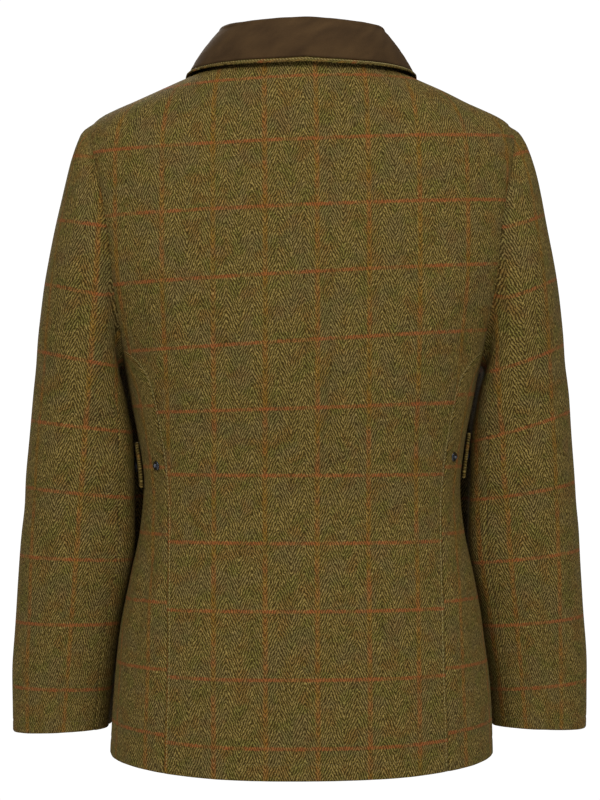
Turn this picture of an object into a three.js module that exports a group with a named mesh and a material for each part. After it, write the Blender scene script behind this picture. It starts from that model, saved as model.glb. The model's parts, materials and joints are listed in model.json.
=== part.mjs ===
// A tweed shooting jacket, filled out as when it is worn, in millimetres.
// +X is the wearer's left, +Y the wearer's back and +Z is up. The origin is the middle of the neck
// opening, level with the collar seam at the shoulders, which is where a wearer carries the jacket.
import * as THREE from "three";

// Cloth and seams
const WALL = 2.4; // tweed, its backing and lining together
const SEAM_GAP = 0.3; // two pieces at a seam
const COLLAR_LAYER = 1.6; // each of the collar's two layers
const COLLAR_EDGE = 5; // how far the tweed under collar shows past the brown one
const FRONT_LAP = 15; // each front runs this far past the centre line
const LAP_RAMP = 20; // the upper front rises on to the lower one over this width
const LAP_LIFT = WALL + SEAM_GAP + 0.2;

// Armholes: an oval seen from the side, its lowest point at the underarm, its highest at the shoulder
const UNDERARM_Z = -325;
const SHOULDER_Z = -63;
const ARMHOLE_BACK = 70; // depth of the oval behind the side line
const ARMHOLE_FRONT = 65;
const ARMHOLE_STEP = 15; // degrees between its corners
const PRINCESS_TOP = -60; // where on the oval, in degrees, the curved back seam starts
const TIP_SHARE = 0.72; // the side back's top corner stops this far up its last row

// How finely each piece is divided
const HEM_ROWS = 14;
const SHOULDER_ROWS = 6;
const BACK_COLUMNS = 16;
const SIDE_COLUMNS = 4;
const FRONT_COLUMNS = 6;
const COLLAR_STATIONS = 30;
const STUD_SIDES = 16;

// Sections of the body, named by the height of their side point. width is half the width; back and
// front are how far the cloth lies behind and before the side line, at the heights back_z and front_z.
// square is the exponent of the section's oval: 2 is an ellipse.
const BODY = [
  { side_z: -738, width: 205, back: 133, back_z: -750.5, front: 140, front_z: -744, square: 2.35 },
  { side_z: -700, width: 203.5, back: 130.5, back_z: -707, front: 139, front_z: -703, square: 2.35 },
  { side_z: -650, width: 200, back: 126, back_z: -652, front: 137, front_z: -650, square: 2.35 },
  { side_z: -600, width: 194, back: 121, back_z: -600, front: 135, front_z: -600, square: 2.35 },
  { side_z: -550, width: 184.5, back: 115, back_z: -550, front: 131, front_z: -550, square: 2.35 },
  { side_z: -500, width: 174, back: 111, back_z: -500, front: 128, front_z: -500, square: 2.3 },
  { side_z: -455, width: 170, back: 110, back_z: -455, front: 127, front_z: -455, square: 2.3 },
  { side_z: -410, width: 174.5, back: 113, back_z: -410, front: 130, front_z: -410, square: 2.3 },
  { side_z: -360, width: 184, back: 118, back_z: -360, front: 135, front_z: -360, square: 2.35 },
  { side_z: -325, width: 191, back: 120, back_z: -327, front: 138, front_z: -328, square: 2.4 },
  { side_z: -283, width: 206, back: 120.5, back_z: -291, front: 139, front_z: -291, square: 2.4 },
  { side_z: -240, width: 224, back: 120, back_z: -254, front: 137, front_z: -256, square: 2.4 },
  { side_z: -194, width: 236, back: 117.5, back_z: -214, front: 131, front_z: -219, square: 2.4 },
  { side_z: -150, width: 240, back: 114, back_z: -176, front: 125, front_z: -185, square: 2.4 },
  { side_z: -110, width: 238, back: 109.5, back_z: -142, front: 118, front_z: -158, square: 2.4 },
  { side_z: -80, width: 232, back: 105.5, back_z: -118, front: 113, front_z: -140, square: 2.35 },
  { side_z: -63, width: 221, back: 103, back_z: -104, front: 110, front_z: -130, square: 2.3 },
  { side_z: -40, width: 176, back: 97, back_z: -70, front: 104, front_z: -112, square: 2.2 },
  { side_z: -20, width: 132, back: 88, back_z: -35, front: 98, front_z: -94, square: 2.1 },
  { side_z: 0, width: 84, back: 73, back_z: 0, front: 90, front_z: -75, square: 2 },
];
const ROW_DIP = 1.5; // how softly a section leaves its side height for its back or front height

// Soft folds of the body. deg is the place round the section, 0 at the left side and 90 at the centre
// back; z is the side height; across and along are the half sizes; lean turns the fold; rise is its height.
const BODY_FOLDS = [
  { deg: 52, z: -250, across: 7, along: 60, lean: -0.02, rise: 2.2 },
  { deg: 127, z: -255, across: 7, along: 60, lean: 0.02, rise: 2.4 },
  { deg: 60, z: -395, across: 9, along: 26, lean: 0.12, rise: -2.2 },
  { deg: 122, z: -405, across: 9, along: 26, lean: -0.12, rise: -1.8 },
  { deg: 68, z: -690, across: 8, along: 90, lean: 0.01, rise: 2.4 },
  { deg: 113, z: -700, across: 9, along: 90, lean: -0.01, rise: 2.2 },
  { deg: 27, z: -565, across: 4.5, along: 85, lean: 0, rise: -3 },
  { deg: 155, z: -600, across: 5, along: 80, lean: 0, rise: -2 },
  { deg: -45, z: -300, across: 10, along: 60, lean: 0.02, rise: 2.5 },
  { deg: -135, z: -300, across: 10, along: 60, lean: -0.02, rise: 2.5 },
  { deg: -50, z: -700, across: 9, along: 90, lean: 0, rise: 2.5 },
  { deg: -130, z: -690, across: 9, along: 90, lean: 0, rise: 2.5 },
];

// The curved seam between the back and the side back, by its distance from the centre line.
const PRINCESS_SEAM = [
  { side_z: -738, from_centre: 148 },
  { side_z: -700, from_centre: 147 },
  { side_z: -640, from_centre: 145 },
  { side_z: -474, from_centre: 144.5 },
  { side_z: -436, from_centre: 147 },
  { side_z: -401, from_centre: 152 },
  { side_z: -380, from_centre: 155.5 },
  { side_z: -354, from_centre: 161 },
  { side_z: -335, from_centre: 168 },
  { side_z: -320, from_centre: 176 },
  { side_z: -307, from_centre: 188 },
];

// Sections of the left sleeve, from armhole (0) to cuff (1): the points nearest the body and furthest
// from it, how far the section's middle lies behind the side line, and half its depth. close is how
// far the cloth in front of the body's side line comes in towards the body.
const SLEEVE = [
  { along: 0, in_x: 193, in_z: -325, out_x: 221, out_z: -63, mid_y: 0, depth: 68, close: 0 },
  { along: 0.03, in_x: 196, in_z: -330, out_x: 235, out_z: -76, mid_y: 0, depth: 70, close: 0 },
  { along: 0.068, in_x: 198, in_z: -334, out_x: 244.5, out_z: -98, mid_y: 0, depth: 72, close: 3 },
  { along: 0.1, in_x: 198, in_z: -338, out_x: 251, out_z: -120, mid_y: 0, depth: 73, close: 8 },
  { along: 0.17, in_x: 196.5, in_z: -346, out_x: 261, out_z: -163.5, mid_y: 0, depth: 73, close: 15 },
  { along: 0.23, in_x: 194.5, in_z: -356, out_x: 270, out_z: -207, mid_y: -1, depth: 72, close: 18 },
  { along: 0.3, in_x: 192, in_z: -372, out_x: 277.5, out_z: -250, mid_y: -3, depth: 70, close: 21 },
  { along: 0.39, in_x: 187.5, in_z: -402, out_x: 285, out_z: -315, mid_y: -6, depth: 67, close: 27 },
  { along: 0.52, in_x: 186, in_z: -450, out_x: 292.5, out_z: -404, mid_y: -9, depth: 64, close: 33 },
  { along: 0.64, in_x: 185, in_z: -510, out_x: 300, out_z: -489, mid_y: -14, depth: 61, close: 31 },
  { along: 0.77, in_x: 195, in_z: -584, out_x: 306, out_z: -574, mid_y: -20, depth: 56, close: 23 },
  { along: 0.9, in_x: 204, in_z: -658, out_x: 312, out_z: -659, mid_y: -26, depth: 49, close: 21 },
  { along: 1, in_x: 210, in_z: -714, out_x: 311.5, out_z: -718, mid_y: -30, depth: 43, close: 18 },
];
const SLEEVE_SQUARE = 2.15;
const CLOSE_TURN = 217; // the place round the sleeve that comes in most, and half its reach
const CLOSE_REACH = 52;
const SLEEVE_HEAD = 0.2; // by here the armhole's shape has given way to the sections above
const SLEEVE_ROWS = [
  0, 0.03, 0.068, 0.1, 0.135, 0.17, 0.2, 0.23, 0.265, 0.3, 0.345, 0.39, 0.455, 0.52, 0.58, 0.64,
  0.705, 0.77, 0.835, 0.9, 0.95, 1,
];
// The sleeve's two seams, as corners of the armhole oval counted up the back from the underarm
const HIND_SEAM = 3;
const FORE_SEAM = 20;

// Soft folds of the sleeves. turn is the place round the sleeve: -90 at the body, 0 behind, 90 outside.
const SLEEVE_FOLDS = [
  { along: 0.2, turn: -25, reach: 0.07, across: 26, lean: 90, rise: 2.4 },
  { along: 0.44, turn: -20, reach: 0.035, across: 42, lean: 120, rise: -2.6 },
  { along: 0.52, turn: -30, reach: 0.03, across: 46, lean: 100, rise: 2.2 },
  { along: 0.6, turn: -25, reach: 0.035, across: 42, lean: 60, rise: -2.4 },
  { along: 0.5, turn: 200, reach: 0.035, across: 40, lean: -80, rise: -2.8 },
  { along: 0.58, turn: 205, reach: 0.035, across: 40, lean: -60, rise: 2.2 },
  { along: 0.8, turn: 20, reach: 0.09, across: 30, lean: 0, rise: -1.6 },
];

// Stations of the collar, from the centre back round to its left end. neck is the place on the neck
// seam; edge, edge_z and lift put the fall's edge over the body; stand is the height of the fold; foot
// is the gap below the stand, wider in front where the seam bends more between its corners.
const COLLAR = [
  { neck: 90, edge: 90, edge_z: -3.5, lift: 7.5, stand: 34.5, lean: 1, foot: 0.5 },
  { neck: 45, edge: 45, edge_z: -7, lift: 7, stand: 33, lean: 1, foot: 0.5 },
  { neck: 0, edge: 0, edge_z: -13.5, lift: 5.5, stand: 34.5, lean: -1.5, foot: 0.6 },
  { neck: -40, edge: -41, edge_z: -23, lift: 5.5, stand: 30, lean: 1, foot: 1.2 },
  { neck: -65, edge: -64, edge_z: -38, lift: 6, stand: 25, lean: -1, foot: 2.2 },
  { neck: -84, edge: -73.5, edge_z: -58, lift: 6.5, stand: 20, lean: -3, foot: 3 },
];
const FOLD_RADIUS = 3.2; // of the collar's fold, at the middle of its thickness
const FALL_BULGE = 4; // the fall is this much rounder than a straight line behind, less at the sides
const SIDE_BULGE = 2;

// Waist tabs, and the press studs
const TAB = { height: 49, root_deg: -38, end_deg: 9, thickness: 3.4, root_lift: 0.5, end_lift: 1.8 };
const TAB_COLUMNS = 7;
const TAB_ROWS = 2;
const TAB_STUD_DEG = -2;
const AT_THE_WAIST = {
  left: { tab_z: -430, stud_z: -430, from_centre: 156 },
  right: { tab_z: -420, stud_z: -421, from_centre: 158 },
};
const FRONT_STUDS = { first_z: -95, last_z: -545, count: 5 };
const STUD_LIFT = 0.45;

const COLOURS = { tweed: 0x6b5a2a, collar: 0x48361f, stud: 0x3a3d42 };

const vec = (x, y, z) => new THREE.Vector3(x, y, z);
const radians = THREE.MathUtils.degToRad;
const degrees = THREE.MathUtils.radToDeg;
const signedPower = (value, power) => Math.sign(value) * Math.abs(value) ** power;
const smooth = (low, high, value) => THREE.MathUtils.smoothstep(value, low, high);
const mirrored = (point, side) => vec(point.x * side, point.y, point.z);

// A smooth curve through a table's column, with no overshoot between its rows.
function curve(table, place, column) {
  const at = table.map((row) => row[place]);
  const value = table.map((row) => row[column]);
  const order = at.map((_, i) => i).sort((a, b) => at[a] - at[b]);
  const xs = order.map((i) => at[i]);
  const ys = order.map((i) => value[i]);
  const steps = xs.slice(1).map((x, i) => x - xs[i]);
  const slopes = steps.map((step, i) => (ys[i + 1] - ys[i]) / step);
  const tangents = xs.map((_, i) => {
    if (i === 0) return slopes[0];
    if (i === xs.length - 1) return slopes[i - 1];
    if (slopes[i - 1] * slopes[i] <= 0) return 0;
    const before = 2 * steps[i] + steps[i - 1];
    const after = steps[i] + 2 * steps[i - 1];
    return (before + after) / (before / slopes[i - 1] + after / slopes[i]);
  });
  return (x) => {
    const held = Math.min(Math.max(x, xs[0]), xs[xs.length - 1]);
    let i = 0;
    while (i < steps.length - 1 && held > xs[i + 1]) i += 1;
    const t = (held - xs[i]) / steps[i];
    const rise = ys[i] * (1 + 2 * t) * (1 - t) ** 2 + ys[i + 1] * t * t * (3 - 2 * t);
    return rise + steps[i] * (tangents[i] * t * (1 - t) ** 2 + tangents[i + 1] * t * t * (t - 1));
  };
}
const curvesOf = (table, place, columns) =>
  Object.fromEntries(columns.map((column) => [column, curve(table, place, column)]));

const body = curvesOf(BODY, "side_z", ["width", "back", "back_z", "front", "front_z", "square"]);
const princess = curve(PRINCESS_SEAM, "side_z", "from_centre");
const sleeve = curvesOf(
  SLEEVE,
  "along",
  ["in_x", "in_z", "out_x", "out_z", "mid_y", "depth", "close"],
);
const collar = curvesOf(COLLAR, "neck", ["edge", "edge_z", "lift", "stand", "lean", "foot"]);

// The body's outer face, as a section's side height z and a place round it in degrees.
function plainBody(z, deg) {
  const [c, s] = [Math.cos(radians(deg)), Math.sin(radians(deg))];
  const power = 2 / body.square(z);
  const [depth, far] = s >= 0 ? [body.back(z), body.back_z(z)] : [body.front(z), body.front_z(z)];
  return vec(
    body.width(z) * signedPower(c, power),
    depth * signedPower(s, power),
    z + (far - z) * Math.abs(s) ** ROW_DIP,
  );
}
function normalOf(surface, a, b, stepA, stepB) {
  const alongA = surface(a + stepA, b).sub(surface(a - stepA, b));
  const alongB = surface(a, b + stepB).sub(surface(a, b - stepB));
  return alongB.cross(alongA).normalize();
}
function bodyFold(z, deg) {
  const turned = deg > 200 ? deg - 360 : deg;
  return BODY_FOLDS.reduce((sum, fold) => {
    const across = (turned - fold.deg - fold.lean * (z - fold.z)) / fold.across;
    const along = (z - fold.z) / fold.along;
    return sum + fold.rise * Math.exp(-across * across - along * along);
  }, 0);
}
const bodyNormal = (z, deg) => normalOf(plainBody, z, deg, 1.5, 0.8);
const bodyFace = (z, deg, lift = 0) =>
  plainBody(z, deg).addScaledVector(bodyNormal(z, deg), bodyFold(z, deg) + lift);

// Places round a section, from a distance off the centre line or behind the side line.
const degFromX = (z, x) => degrees(Math.acos(signedPower(x / body.width(z), body.square(z) / 2)));
const degFromY = (z, y) =>
  degrees(Math.asin(signedPower(y / (y >= 0 ? body.back(z) : body.front(z)), body.square(z) / 2)));

// A corner of the left armhole: turn is -90 at the underarm, 0 behind, 90 at the shoulder, 180 in front.
const armholeZ = (turn) =>
  (UNDERARM_Z + SHOULDER_Z) / 2 + ((SHOULDER_Z - UNDERARM_Z) / 2) * Math.sin(radians(turn));
function armholeDeg(turn) {
  const across = Math.cos(radians(turn));
  const reach = across >= 0 ? ARMHOLE_BACK : ARMHOLE_FRONT;
  return Math.abs(across) < 1e-9 ? 0 : degFromY(armholeZ(turn), reach * across);
}
const armholeCorner = (turn) => bodyFace(armholeZ(turn), armholeDeg(turn));

// The left sleeve's outer face: along runs from armhole to cuff, turn round it.
function sleeveOval(along, turn) {
  const [c, s] = [Math.cos(radians(turn)), Math.sin(radians(turn))];
  const power = 2 / SLEEVE_SQUARE;
  const inner = vec(sleeve.in_x(along), 0, sleeve.in_z(along));
  const outer = vec(sleeve.out_x(along), 0, sleeve.out_z(along));
  const middle = inner.clone().add(outer).multiplyScalar(0.5);
  const point = middle.addScaledVector(outer.sub(inner), signedPower(s, power) / 2);
  point.y += sleeve.mid_y(along) + sleeve.depth(along) * signedPower(c, power);
  const fromClose = Math.abs((turn < 0 ? turn + 360 : turn) - CLOSE_TURN) / CLOSE_REACH;
  if (fromClose < 1) point.x -= sleeve.close(along) * Math.cos((fromClose * Math.PI) / 2) ** 2;
  return point;
}
function plainSleeve(along, turn) {
  const held = 1 - smooth(0, SLEEVE_HEAD, along);
  const point = sleeveOval(along, turn);
  if (held > 0) point.addScaledVector(armholeCorner(turn).sub(sleeveOval(0, turn)), held);
  return point;
}
function sleeveNormal(along, turn) {
  const ahead = Math.max(along, 0.004);
  return normalOf(plainSleeve, ahead, turn, 0.004, 2);
}
function sleeveFold(along, turn) {
  return SLEEVE_FOLDS.reduce((sum, fold) => {
    const across = (turn - fold.turn - fold.lean * (along - fold.along)) / fold.across;
    const reach = (along - fold.along) / fold.reach;
    return sum + fold.rise * Math.exp(-across * across - reach * reach);
  }, 0);
}
const sleeveFace = (along, turn) =>
  plainSleeve(along, turn).addScaledVector(sleeveNormal(along, turn), sleeveFold(along, turn));

// Where the sleeve turns sharply out of the body, both walls end on the plane that halves the turn.
function armholeInward(turn) {
  const ofBody = bodyNormal(armholeZ(turn), armholeDeg(turn));
  const ofSleeve = sleeveNormal(0, turn);
  if (ofBody.dot(ofSleeve) < 0.2) {
    return { body: ofBody.multiplyScalar(-WALL), sleeve: ofSleeve.multiplyScalar(-WALL) };
  }
  const halved = ofBody.clone().add(ofSleeve).normalize();
  const inward = halved.clone().multiplyScalar(-WALL / Math.max(0.7, halved.dot(ofSleeve)));
  return { body: inward, sleeve: inward.clone() };
}

// A closed wall from rows of { outer, inner } corners. Its faces are turned to point outwards.
function wallGeometry(rows) {
  const [height, width] = [rows.length, rows[0].length];
  const positions = [];
  for (const layer of ["outer", "inner"]) {
    for (const row of rows) for (const corner of row) positions.push(...corner[layer].toArray());
  }
  const outer = (r, c) => r * width + c;
  const inner = (r, c) => height * width + outer(r, c);
  const faces = [];
  const quad = (a, b, c, d) => faces.push([a, b, c], [a, c, d]);
  for (let r = 0; r < height - 1; r += 1) {
    for (let c = 0; c < width - 1; c += 1) {
      quad(outer(r, c), outer(r, c + 1), outer(r + 1, c + 1), outer(r + 1, c));
      quad(inner(r, c), inner(r + 1, c), inner(r + 1, c + 1), inner(r, c + 1));
    }
    quad(outer(r, 0), outer(r + 1, 0), inner(r + 1, 0), inner(r, 0));
    quad(outer(r, width - 1), inner(r, width - 1), inner(r + 1, width - 1), outer(r + 1, width - 1));
  }
  for (let c = 0; c < width - 1; c += 1) {
    quad(outer(0, c), inner(0, c), inner(0, c + 1), outer(0, c + 1));
    quad(outer(height - 1, c), outer(height - 1, c + 1), inner(height - 1, c + 1), inner(height - 1, c));
  }
  const corner = (i) => vec(positions[3 * i], positions[3 * i + 1], positions[3 * i + 2]);
  const volume = faces.reduce((sum, [a, b, c]) => sum + corner(a).dot(corner(b).cross(corner(c))), 0);
  const index = volume > 0 ? faces.flat() : faces.flatMap(([a, b, c]) => [a, c, b]);
  const geometry = new THREE.BufferGeometry();
  geometry.setAttribute("position", new THREE.Float32BufferAttribute(positions, 3));
  geometry.setIndex(index);
  geometry.computeVertexNormals();
  return geometry;
}

// Moves the two ends of a row in by half the seam's gap.
function trimmed(row) {
  const ends = [
    [0, 1],
    [row.length - 1, row.length - 2],
  ];
  const shifts = ends.map(([end, next]) =>
    row[next].outer.clone().sub(row[end].outer).setLength(SEAM_GAP / 2),
  );
  return row.map((corner, i) => {
    const shift = i === 0 ? shifts[0] : i === row.length - 1 ? shifts[1] : vec(0, 0, 0);
    return { outer: corner.outer.clone().add(shift), inner: corner.inner.clone().add(shift) };
  });
}

// The heights at which the body is divided, and the armhole corner that each of them meets.
const corners = Array.from({ length: 180 / ARMHOLE_STEP + 1 }, (_, i) => -90 + i * ARMHOLE_STEP);
const HEM_Z = BODY[0].side_z;
const bodyRows = [
  ...Array.from({ length: HEM_ROWS }, (_, i) => ({
    z: HEM_Z + ((UNDERARM_Z - HEM_Z) * i) / HEM_ROWS,
  })),
  ...corners.map((turn) => ({ z: armholeZ(turn), turn })),
  ...Array.from({ length: SHOULDER_ROWS }, (_, i) => ({
    z: SHOULDER_Z * (1 - (i + 1) / SHOULDER_ROWS),
  })),
];
const underarmRow = bodyRows.findIndex((row) => row.turn === -90);

// A corner of the body's wall; at an armhole its inner face follows the seam.
function bodyCorner(z, deg, lift = 0, turn = null) {
  const outer = bodyFace(z, deg, lift);
  const inward =
    turn === null ? bodyNormal(z, deg).multiplyScalar(-WALL) : armholeInward(turn).body;
  return { outer, inner: outer.clone().add(inward) };
}

// The left edge of the centre back at one row, as a place round the section.
function backEdge(row) {
  if (row.turn !== undefined && row.turn >= PRINCESS_TOP) {
    return { deg: armholeDeg(row.turn), turn: row.turn };
  }
  if (row.z > SHOULDER_Z) return { deg: 0, turn: null };
  return { deg: degFromX(row.z, princess(row.z)), turn: null };
}

function backPanel() {
  const rows = bodyRows.map((row) => {
    const edge = backEdge(row);
    const half = (deg, turn) => bodyCorner(row.z, deg, 0, turn);
    return trimmed(
      Array.from({ length: BACK_COLUMNS + 1 }, (_, i) => {
        const deg = edge.deg + ((180 - 2 * edge.deg) * i) / BACK_COLUMNS;
        if (edge.turn === null || (i > 0 && i < BACK_COLUMNS)) return half(deg, null);
        if (i === 0) return half(deg, edge.turn);
        const outer = bodyFace(row.z, deg);
        return { outer, inner: outer.clone().add(mirrored(armholeInward(edge.turn).body, -1)) };
      }),
    );
  });
  return wallGeometry(rows);
}

// A left or right piece is worked out on its own side of the body from its own folds.
const sideDeg = (deg, side) => (side > 0 ? deg : 180 - deg);
function sideCorner(z, deg, side, lift = 0, turn = null) {
  const outer = bodyFace(z, sideDeg(deg, side), lift);
  const inward =
    turn === null
      ? bodyNormal(z, sideDeg(deg, side)).multiplyScalar(-WALL)
      : mirrored(armholeInward(turn).body, side);
  return { outer, inner: outer.clone().add(inward) };
}

function sideBack(side) {
  const spread = (row, first, turn) => {
    const last = degFromX(row.z, princess(row.z));
    return Array.from({ length: SIDE_COLUMNS + 1 }, (_, i) =>
      sideCorner(row.z, first + ((last - first) * i) / SIDE_COLUMNS, side, 0, i === 0 ? turn : null),
    );
  };
  const rows = bodyRows
    .slice(0, underarmRow)
    .map((row) => spread(row, 0, null));
  rows.push(spread(bodyRows[underarmRow], 0, -90));
  rows.push(spread(bodyRows[underarmRow + 1], armholeDeg(-75), -75));
  const top = sideCorner(armholeZ(PRINCESS_TOP), armholeDeg(PRINCESS_TOP), side, 0, PRINCESS_TOP);
  rows.push(
    rows[rows.length - 1].map((corner) => ({
      outer: corner.outer.clone().lerp(top.outer, TIP_SHARE),
      inner: corner.inner.clone().lerp(top.inner, TIP_SHARE),
    })),
  );
  return wallGeometry(rows.map(trimmed));
}

// The left front lies over the right one, and both share their corners where they lap.
function frontPanel(side) {
  const rows = bodyRows.map((row) => {
    const turn = row.turn === undefined ? null : 180 - row.turn;
    const last = row.turn === undefined ? 0 : -armholeDeg(turn);
    const lapped = [-FRONT_LAP, 0, FRONT_LAP].map((x) => ({
      deg: degFromX(row.z, x),
      lift: side > 0 ? LAP_LIFT : 0,
    }));
    const first = degFromX(row.z, FRONT_LAP + LAP_RAMP);
    const plain = Array.from({ length: FRONT_COLUMNS + 1 }, (_, i) => ({
      deg: first + ((last - first) * i) / FRONT_COLUMNS,
      lift: 0,
      turn: i === FRONT_COLUMNS ? turn : null,
    }));
    return trimmed(
      [...lapped, ...plain].map((place) =>
        sideCorner(row.z, -place.deg, side, place.lift, place.turn ?? null),
      ),
    );
  });
  return wallGeometry(rows);
}

function sleevePiece(side, firstCorner, lastCorner) {
  const turns = Array.from(
    { length: lastCorner - firstCorner + 1 },
    (_, i) => -90 + (firstCorner + i) * ARMHOLE_STEP,
  );
  const rows = SLEEVE_ROWS.map((along) =>
    turns.map((turn) => {
      const outer = sleeveFace(along, turn);
      const inward =
        along > 0 ? sleeveNormal(along, turn).multiplyScalar(-WALL) : armholeInward(turn).sleeve;
      const shift =
        along > 0
          ? vec(0, 0, 0)
          : sleeveFace(SLEEVE_ROWS[1], turn).sub(outer).setLength(SEAM_GAP);
      outer.add(shift);
      return { outer: mirrored(outer, side), inner: mirrored(outer.clone().add(inward), side) };
    }),
  );
  return wallGeometry(rows.map(trimmed));
}

// The direction that leads straight up the body's face.
const upTheBody = (z, deg) => plainBody(z, deg).sub(plainBody(z - 1.5, deg)).normalize();

// The middle of the collar's thickness, up the stand, over the fold and down the fall.
function collarLine(deg) {
  const half = deg > 90 ? 180 - deg : deg;
  const ahead = plainBody(0, deg + 1).sub(plainBody(0, deg - 1));
  const out = vec(ahead.y, -ahead.x, 0).normalize();
  const up = vec(0, 0, 1);
  const foot = bodyFace(0, deg, -WALL / 2).addScaledVector(upTheBody(0, deg), collar.foot(half));
  const top = foot.clone().addScaledVector(up, collar.stand(half)).addScaledVector(out, collar.lean(half));
  const edgeDeg = deg > 90 ? 180 - collar.edge(half) : collar.edge(half);
  const edge = bodyFace(collar.edge_z(half), edgeDeg, collar.lift(half));
  const points = [foot, foot.clone().lerp(top, 0.5), top];
  for (const turn of [45, 90, 135, 180]) {
    const [c, s] = [Math.cos(radians(turn)), Math.sin(radians(turn))];
    points.push(
      top.clone().addScaledVector(out, FOLD_RADIUS * (1 - c)).addScaledVector(up, FOLD_RADIUS * s),
    );
  }
  const start = points[points.length - 1];
  const rounder = out.clone().addScaledVector(up, 0.6).normalize();
  const bulge = SIDE_BULGE + (FALL_BULGE - SIDE_BULGE) * Math.sin(radians(Math.max(0, half))) ** 2;
  for (const share of [0.25, 0.5, 0.75, 1]) {
    points.push(
      start.clone().lerp(edge, share).addScaledVector(rounder, bulge * Math.sin(Math.PI * share)),
    );
  }
  points.push(edge.clone().addScaledVector(upTheBody(collar.edge_z(half), edgeDeg), -COLLAR_EDGE));
  return points;
}

function collarPiece(low, high, rowsUsed) {
  const end = COLLAR[COLLAR.length - 1].neck;
  const places = Array.from(
    { length: COLLAR_STATIONS + 1 },
    (_, i) => end + ((180 - 2 * end) * i) / COLLAR_STATIONS,
  );
  const lines = places.map(collarLine);
  const rows = lines[0].slice(0, rowsUsed).map((_, r) =>
    lines.map((line, c) => {
      const up = line[Math.min(r + 1, line.length - 1)].clone().sub(line[Math.max(r - 1, 0)]);
      const before = lines[Math.max(c - 1, 0)][r];
      const after = lines[Math.min(c + 1, lines.length - 1)][r];
      const normal =
        r === 0 ? bodyNormal(0, places[c]).negate() : up.cross(after.clone().sub(before)).normalize();
      return {
        outer: line[r].clone().addScaledVector(normal, high),
        inner: line[r].clone().addScaledVector(normal, low),
      };
    }),
  );
  return wallGeometry(rows);
}

function waistTab(side, middle) {
  const rows = Array.from({ length: TAB_ROWS + 1 }, (_, r) => {
    const z = middle + TAB.height * (r / TAB_ROWS - 0.5);
    return Array.from({ length: TAB_COLUMNS + 1 }, (_, c) => {
      const share = c / TAB_COLUMNS;
      const deg = TAB.root_deg + (TAB.end_deg - TAB.root_deg) * share;
      const lift = TAB.root_lift + (TAB.end_lift - TAB.root_lift) * share;
      return {
        outer: bodyFace(z, sideDeg(deg, side), lift + TAB.thickness),
        inner: bodyFace(z, sideDeg(deg, side), lift),
      };
    });
  });
  return wallGeometry(rows);
}

// Press studs are turned shapes: radius and height above the cloth.
const CAP_PROFILE = [
  [0, 0], [5.4, 0], [7.5, 0.7], [7.5, 1.5], [6.2, 2.7], [3.4, 3.4], [0, 3.6],
];
const POST_PROFILE = [
  [0, 0], [5, 0], [5, 0.9], [3.4, 1.3], [2.2, 1.4], [2, 2.6], [2.4, 3.2], [1.6, 3.9], [0, 4],
];
function stud(name, profile, z, deg, lift) {
  const points = profile.map(([radius, height]) => new THREE.Vector2(radius, height));
  const mesh = new THREE.Mesh(new THREE.LatheGeometry(points, STUD_SIDES), materials.stud);
  mesh.name = name;
  mesh.position.copy(bodyFace(z, deg, lift));
  mesh.quaternion.setFromUnitVectors(vec(0, 1, 0), bodyNormal(z, deg));
  return mesh;
}

const materials = {
  tweed: new THREE.MeshStandardMaterial({ color: COLOURS.tweed, roughness: 0.95, metalness: 0 }),
  collar: new THREE.MeshStandardMaterial({ color: COLOURS.collar, roughness: 0.9, metalness: 0 }),
  stud: new THREE.MeshStandardMaterial({ color: COLOURS.stud, roughness: 0.35, metalness: 0.9 }),
};
const jacket = new THREE.Group();
jacket.name = "shooting_jacket";
function add(name, geometry, material = materials.tweed) {
  const mesh = new THREE.Mesh(geometry, material);
  mesh.name = name;
  jacket.add(mesh);
}

add("back", backPanel());
for (const [side, word] of [
  [1, "left"],
  [-1, "right"],
]) {
  add(`side_back_${word}`, sideBack(side));
  add(`front_${word}`, frontPanel(side));
  add(`top_sleeve_${word}`, sleevePiece(side, HIND_SEAM, FORE_SEAM));
  add(`under_sleeve_${word}`, sleevePiece(side, FORE_SEAM, 360 / ARMHOLE_STEP + HIND_SEAM));
  const waist = AT_THE_WAIST[word];
  add(`waist_tab_${word}`, waistTab(side, waist.tab_z));
  const tabShare = (TAB_STUD_DEG - TAB.root_deg) / (TAB.end_deg - TAB.root_deg);
  const tabLift = TAB.root_lift + (TAB.end_lift - TAB.root_lift) * tabShare + TAB.thickness;
  const onTab = sideDeg(TAB_STUD_DEG, side);
  jacket.add(stud(`tab_stud_${word}`, CAP_PROFILE, waist.tab_z, onTab, tabLift + STUD_LIFT));
  const onBody = sideDeg(degFromX(waist.stud_z, waist.from_centre), side);
  jacket.add(stud(`adjust_stud_${word}`, POST_PROFILE, waist.stud_z, onBody, STUD_LIFT));
}
for (let i = 0; i < FRONT_STUDS.count; i += 1) {
  const z =
    FRONT_STUDS.first_z +
    ((FRONT_STUDS.last_z - FRONT_STUDS.first_z) * i) / (FRONT_STUDS.count - 1);
  jacket.add(stud(`front_stud_${i + 1}`, CAP_PROFILE, z, -90, LAP_LIFT + STUD_LIFT));
}
const halfGap = SEAM_GAP / 2;
const fullLine = collarLine(90).length;
add("top_collar", collarPiece(halfGap, halfGap + COLLAR_LAYER, fullLine - 1), materials.collar);
add("under_collar", collarPiece(-halfGap - COLLAR_LAYER, -halfGap, fullLine));

export default jacket;
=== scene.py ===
# %% [markdown]
# A tweed shooting jacket in Blender.
# The jacket hangs as if somebody wore it: hollow, with open neck, hem and cuffs. The rigid model of it is
# loaded first and fixes where every piece goes. Each cut piece is then made again as a thin sheet of
# cloth on the same form, with its seams rolled in and its folds finer, and gets its weave, stitches and
# studs. All the sizes below are in millimetres, and turn to metres only when a mesh is made.

# %% Load the rigid model
import json
import math

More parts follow.
